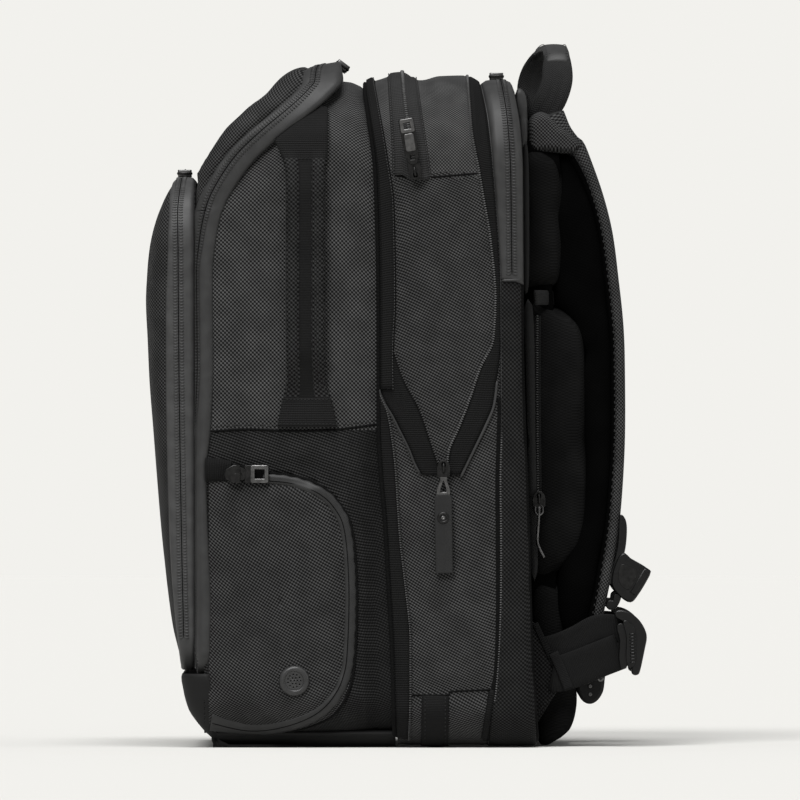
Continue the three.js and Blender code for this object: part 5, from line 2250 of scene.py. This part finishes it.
# ---------------------------------------------------------------- zip hardware
def zip_slider(name, at, along, out):
    """A slider: a waisted body, its cheeks and the bridge that the pull hangs from."""
    place = basis(at, along, out)
    shape = [
        (-6, -2.6), (-4.6, -4.3), (0.5, -4.5), (3.6, -3.6), (6, -1.5), (6, 1.5), (3.6, 3.6), (0.5, 4.5),
        (-4.6, 4.3), (-6, 2.6)
    ]
    top = plate("top", [shape], 1.4, METAL_DARK, 0.35, place @ Matrix.Translation((0, 0, 3.0)))
    base = plate("base", [shape], 1.2, METAL_DARK, 0.3, place @ Matrix.Translation((0, 0, 0.7)))
    neck = plate(
        "neck", [rounded_box(1, -1.6, 4.6, 1.6, 0.8, 2)], 3.4, METAL_DARK, 0.2,
        place @ Matrix.Translation((0, 0, 2.0))
    )
    bow = spline([(-2.8, 0, 3.4), (-2.2, 0, 4.6), (-0.2, 0, 5.2), (2.6, 0, 4.9), (3.4, 0, 3.4)], 5)
    spots = [place @ p for p in bow]
    side = place.to_3x3() @ Vector((0, 1, 0))
    outward = side.cross((spots[-1] - spots[0]).normalized()) * -1
    bridge = cord_along("bridge", frames(spots, [outward] * len(spots)), 0.95, METAL_DARK)
    return join(name, [top, base, neck, bridge])


def window_pull(name, at, along, out, length, thick):
    """A flat metal pull with a square window at its free end and an eye at its hinge, or a short plain one.

    thick is what its raised rim and panel are measured from.
    """
    place = basis(at, along, out)
    end = -length
    outline = [
        (end + 0.8, -5.2), (end + 8.4, -5.2), (-7.5, -4.7), (-2.4, -3.6), (0.6, -2.4), (1.4, 0), (0.6, 2.4),
        (-2.4, 3.6), (-7.5, 4.7),
        (end + 8.4, 5.2), (end + 0.8, 5.2), (end, 4.4), (end, -4.4),
    ]
    short = length < 20
    wide = 1.3 if short else 1.0
    if short:
        outline = [(end, -6), (0.6, -6), (1.2, -1.2), (1.2, 1.2), (0.6, 6), (end, 6)]
    window = rounded_box(end + 2.2, -3.0 * wide, end + 8.0 * wide, 3.0 * wide, 0.7, 3)
    eye = rounded_box(-5.8, -2.2, -1.4, 2.2, 1.0, 3)
    holes = [window[::-1]] if short else [window[::-1], eye[::-1]]
    parts = [plate("pull", [outline, *holes], 1.8, METAL_DARK, 0.45, place)]
    rim = rounded_box(end + 0.4, -4.6 * wide, end + 9.6 * wide, 4.6 * wide, 0.9, 3)
    parts.append(plate("rim", [rim, window[::-1]], thick + 1.4, METAL, 0.5, place))
    if not short:
        inset = rounded_box(end + 11.4, -3.0, -8.6, 3.0, 0.8, 3)
        parts.append(plate("panel", [inset], thick + 1.1, METAL, 0.5, place))
    return join(name, parts)


def hanging_pull(name, at, along, out):
    """A metal bail that carries a rubber tab with a rivet."""
    place = basis(at, along, out)
    bail = [
        (-13.4, -4.6), (-8, -4.4), (-2, -2.2), (1, -2.2), (1.8, 0), (1, 2.2), (-2, 2.2), (-8, 4.4),
        (-13.4, 4.6), (-14.6, 3.6), (-14.6, -3.6)
    ]
    eye = [(-10.6, -2.6), (-7.6, -2.5), (-2.4, -0.9), (-1, 0), (-2.4, 0.9), (-7.6, 2.5), (-10.6, 2.6)]
    parts = [plate("bail", [bail, eye[::-1]], 1.9, METAL, 0.4, place)]
    slant = 0.035
    tab = [
        (-12.4, -4.2), (-14.2, -5.7), (-17, -5.8), (-68.6, -5.8 - 52 * slant), (-69, 5.6 - 52 * slant),
        (-17, 5.7), (-14.2, 5.5), (-12.4, 4.2)
    ]
    parts.append(plate("tab", [tab[::-1]], 2.7, RUBBER, 0.7, place @ Matrix.Translation((0, 0, 0.3))))
    spot = place @ Matrix.Translation((-29, -0.3, 1.4))
    parts.append(
        ring_piece(
            "rivet_ring", spot, [(2.2, 0.2), (2.5, 1.0), (3.6, 1.1), (4.3, 0.6), (4.5, -0.3), (2.2, -0.3)],
            METAL_DARK, 30
        )
    )
    parts.append(
        ring_piece(
            "rivet_cap", spot, [(0.2, 0.7), (1.2, 0.7), (1.7, 0.3), (1.8, -0.3), (0.2, -0.3)], METAL, 24
        )
    )
    return join(name, parts)


def curved_pull(name, at, along, out):
    """A thin bent metal pull."""
    place = basis(at, along, out)
    line = [
        place @ p
        for p in spline(
            [
                (1.2, 0, 0), (-2, 0, 0.6), (-12, 0.6, 0.9), (-24, 1.2, 0.6), (-30, -0.6, 0.4),
                (-36, -3.6, 0.2)
            ],
            6
        )
    ]
    side = place.to_3x3() @ Vector((0, 0, 1))
    rod = sweep("rod", frames(line, [side] * len(line)), flat_section(2.5, 1.7, 0.1, 3, 3), METAL)
    ring = [
        place @ p
        for p in spline(
            [
                (2.6, 0, -1), (1.6, 2.4, 0), (-3, 2.6, 0.6), (-5, 0, 0.8), (-3, -2.6, 0.6), (1.6, -2.4, 0),
                (2.6, 0, -1)
            ],
            6
        )
    ]
    eye = cord_along("eye", frames(ring, [side] * len(ring)), 0.8, METAL)
    return join(name, [rod, eye])


# Each zip: whether both sides have one; its slider's place, and its directions along the zip and outward; its
# pull's hinge, the direction it hangs in, and its length.
ZIPS = {
    "main": (True, (167.2, 13, 421), (0, 0.17, -1), (1, 0, 0), (171.4, 11.8, 427.6), (0, 0.17, -1), 32),
    "expansion": (True, (166, 34, 204), (0, 0, 1), (1, 0, 0), (168.5, 34, 197), (0, 0.02, 1), 69),
    "side_pocket": (True, (166, -117, 200), (0, -1, 0), (1, 0, 0), (168.5, -110, 200), (0, -1, 0), 16),
    "front_panel": (False, (26, -42.5, 497), (-1, 0, 0), (0, 0.6, 0.8), (33, -40, 499.5), (-1, 0, 0), 34),
    "front_pocket": (False, (26, -156, 418), (-1, 0, 0), (0, 0, 1), (33, -156, 420.5), (-1, 0, 0), 34),
    "laptop": (False, (26, 73, 489), (-1, 0, 0), (0, 0, 1), (33, 73, 491.8), (-1, 0, 0), 34),
    "back_pocket": (False, (108.6, 104, 181), (0, 0, 1), (1, 0, 0), (111.6, 104, 174.6), (0, 0, 1), 36),
}


def zips():
    """Every zip's slider and pull."""
    for name, (paired, at, along, out, hinge, lies, length) in ZIPS.items():
        slider = zip_slider(f"{name}_zip_slider", at, along, out)
        if name == "side_pocket":
            cover = [(-1.8, -6), (2.4, -6), (7.4, -3.4), (8.4, 0), (7.4, 3.4), (2.4, 6), (-1.8, 6)]
            lid = plate(
                "lid", [cover], 2.0, METAL_DARK, 0.6,
                basis(at, along, out) @ Matrix.Translation((0, 0, 5.0))
            )
            slider = join(f"{name}_zip_slider", [slider, lid])
        if name == "expansion":
            pull = hanging_pull(f"{name}_zip_pull", hinge, lies, out)
        elif name == "back_pocket":
            pull = curved_pull(f"{name}_zip_pull", hinge, lies, out)
        else:
            pull = window_pull(f"{name}_zip_pull", hinge, lies, out, length, 1.8 if paired else 4.0)
        for piece, kind in ((slider, "slider"), (pull, "pull")):
            slot = "rubber_tab" if name == "expansion" and kind == "pull" else "dark_metal"
            if paired:
                piece.name = f"{name}_zip_{kind}_right"
                both(piece, f"{name}_{kind}_right", slot, f"{name}_{kind}_right")
            else:
                part(piece, f"{name}_{kind}", slot, f"{name}_{kind}")


# ---------------------------------------------------------------- CAD nodes that stay
def carried_nodes():
    """The inner pieces keep their CAD shape and get a finish."""
    nodes = frame["nodes"]
    for name, finish in (
        ("compartment_divider", LINING), ("laptop_divider", LINING), ("frame_sheet", BOARD),
        ("base_board", BOARD),
        ("side_pocket_liner_right", LINING), ("side_pocket_liner_left", LINING),
    ):
        paint(nodes[name], finish)


gusset()
gusset_details()
main_zip()
rear_shell()
rear_details()
back_pads()
back_core()
back_trim()
shoulder_straps()
strap_roots()
lower_anchors()
buckles()
top_handle()
zips()
carried_nodes()
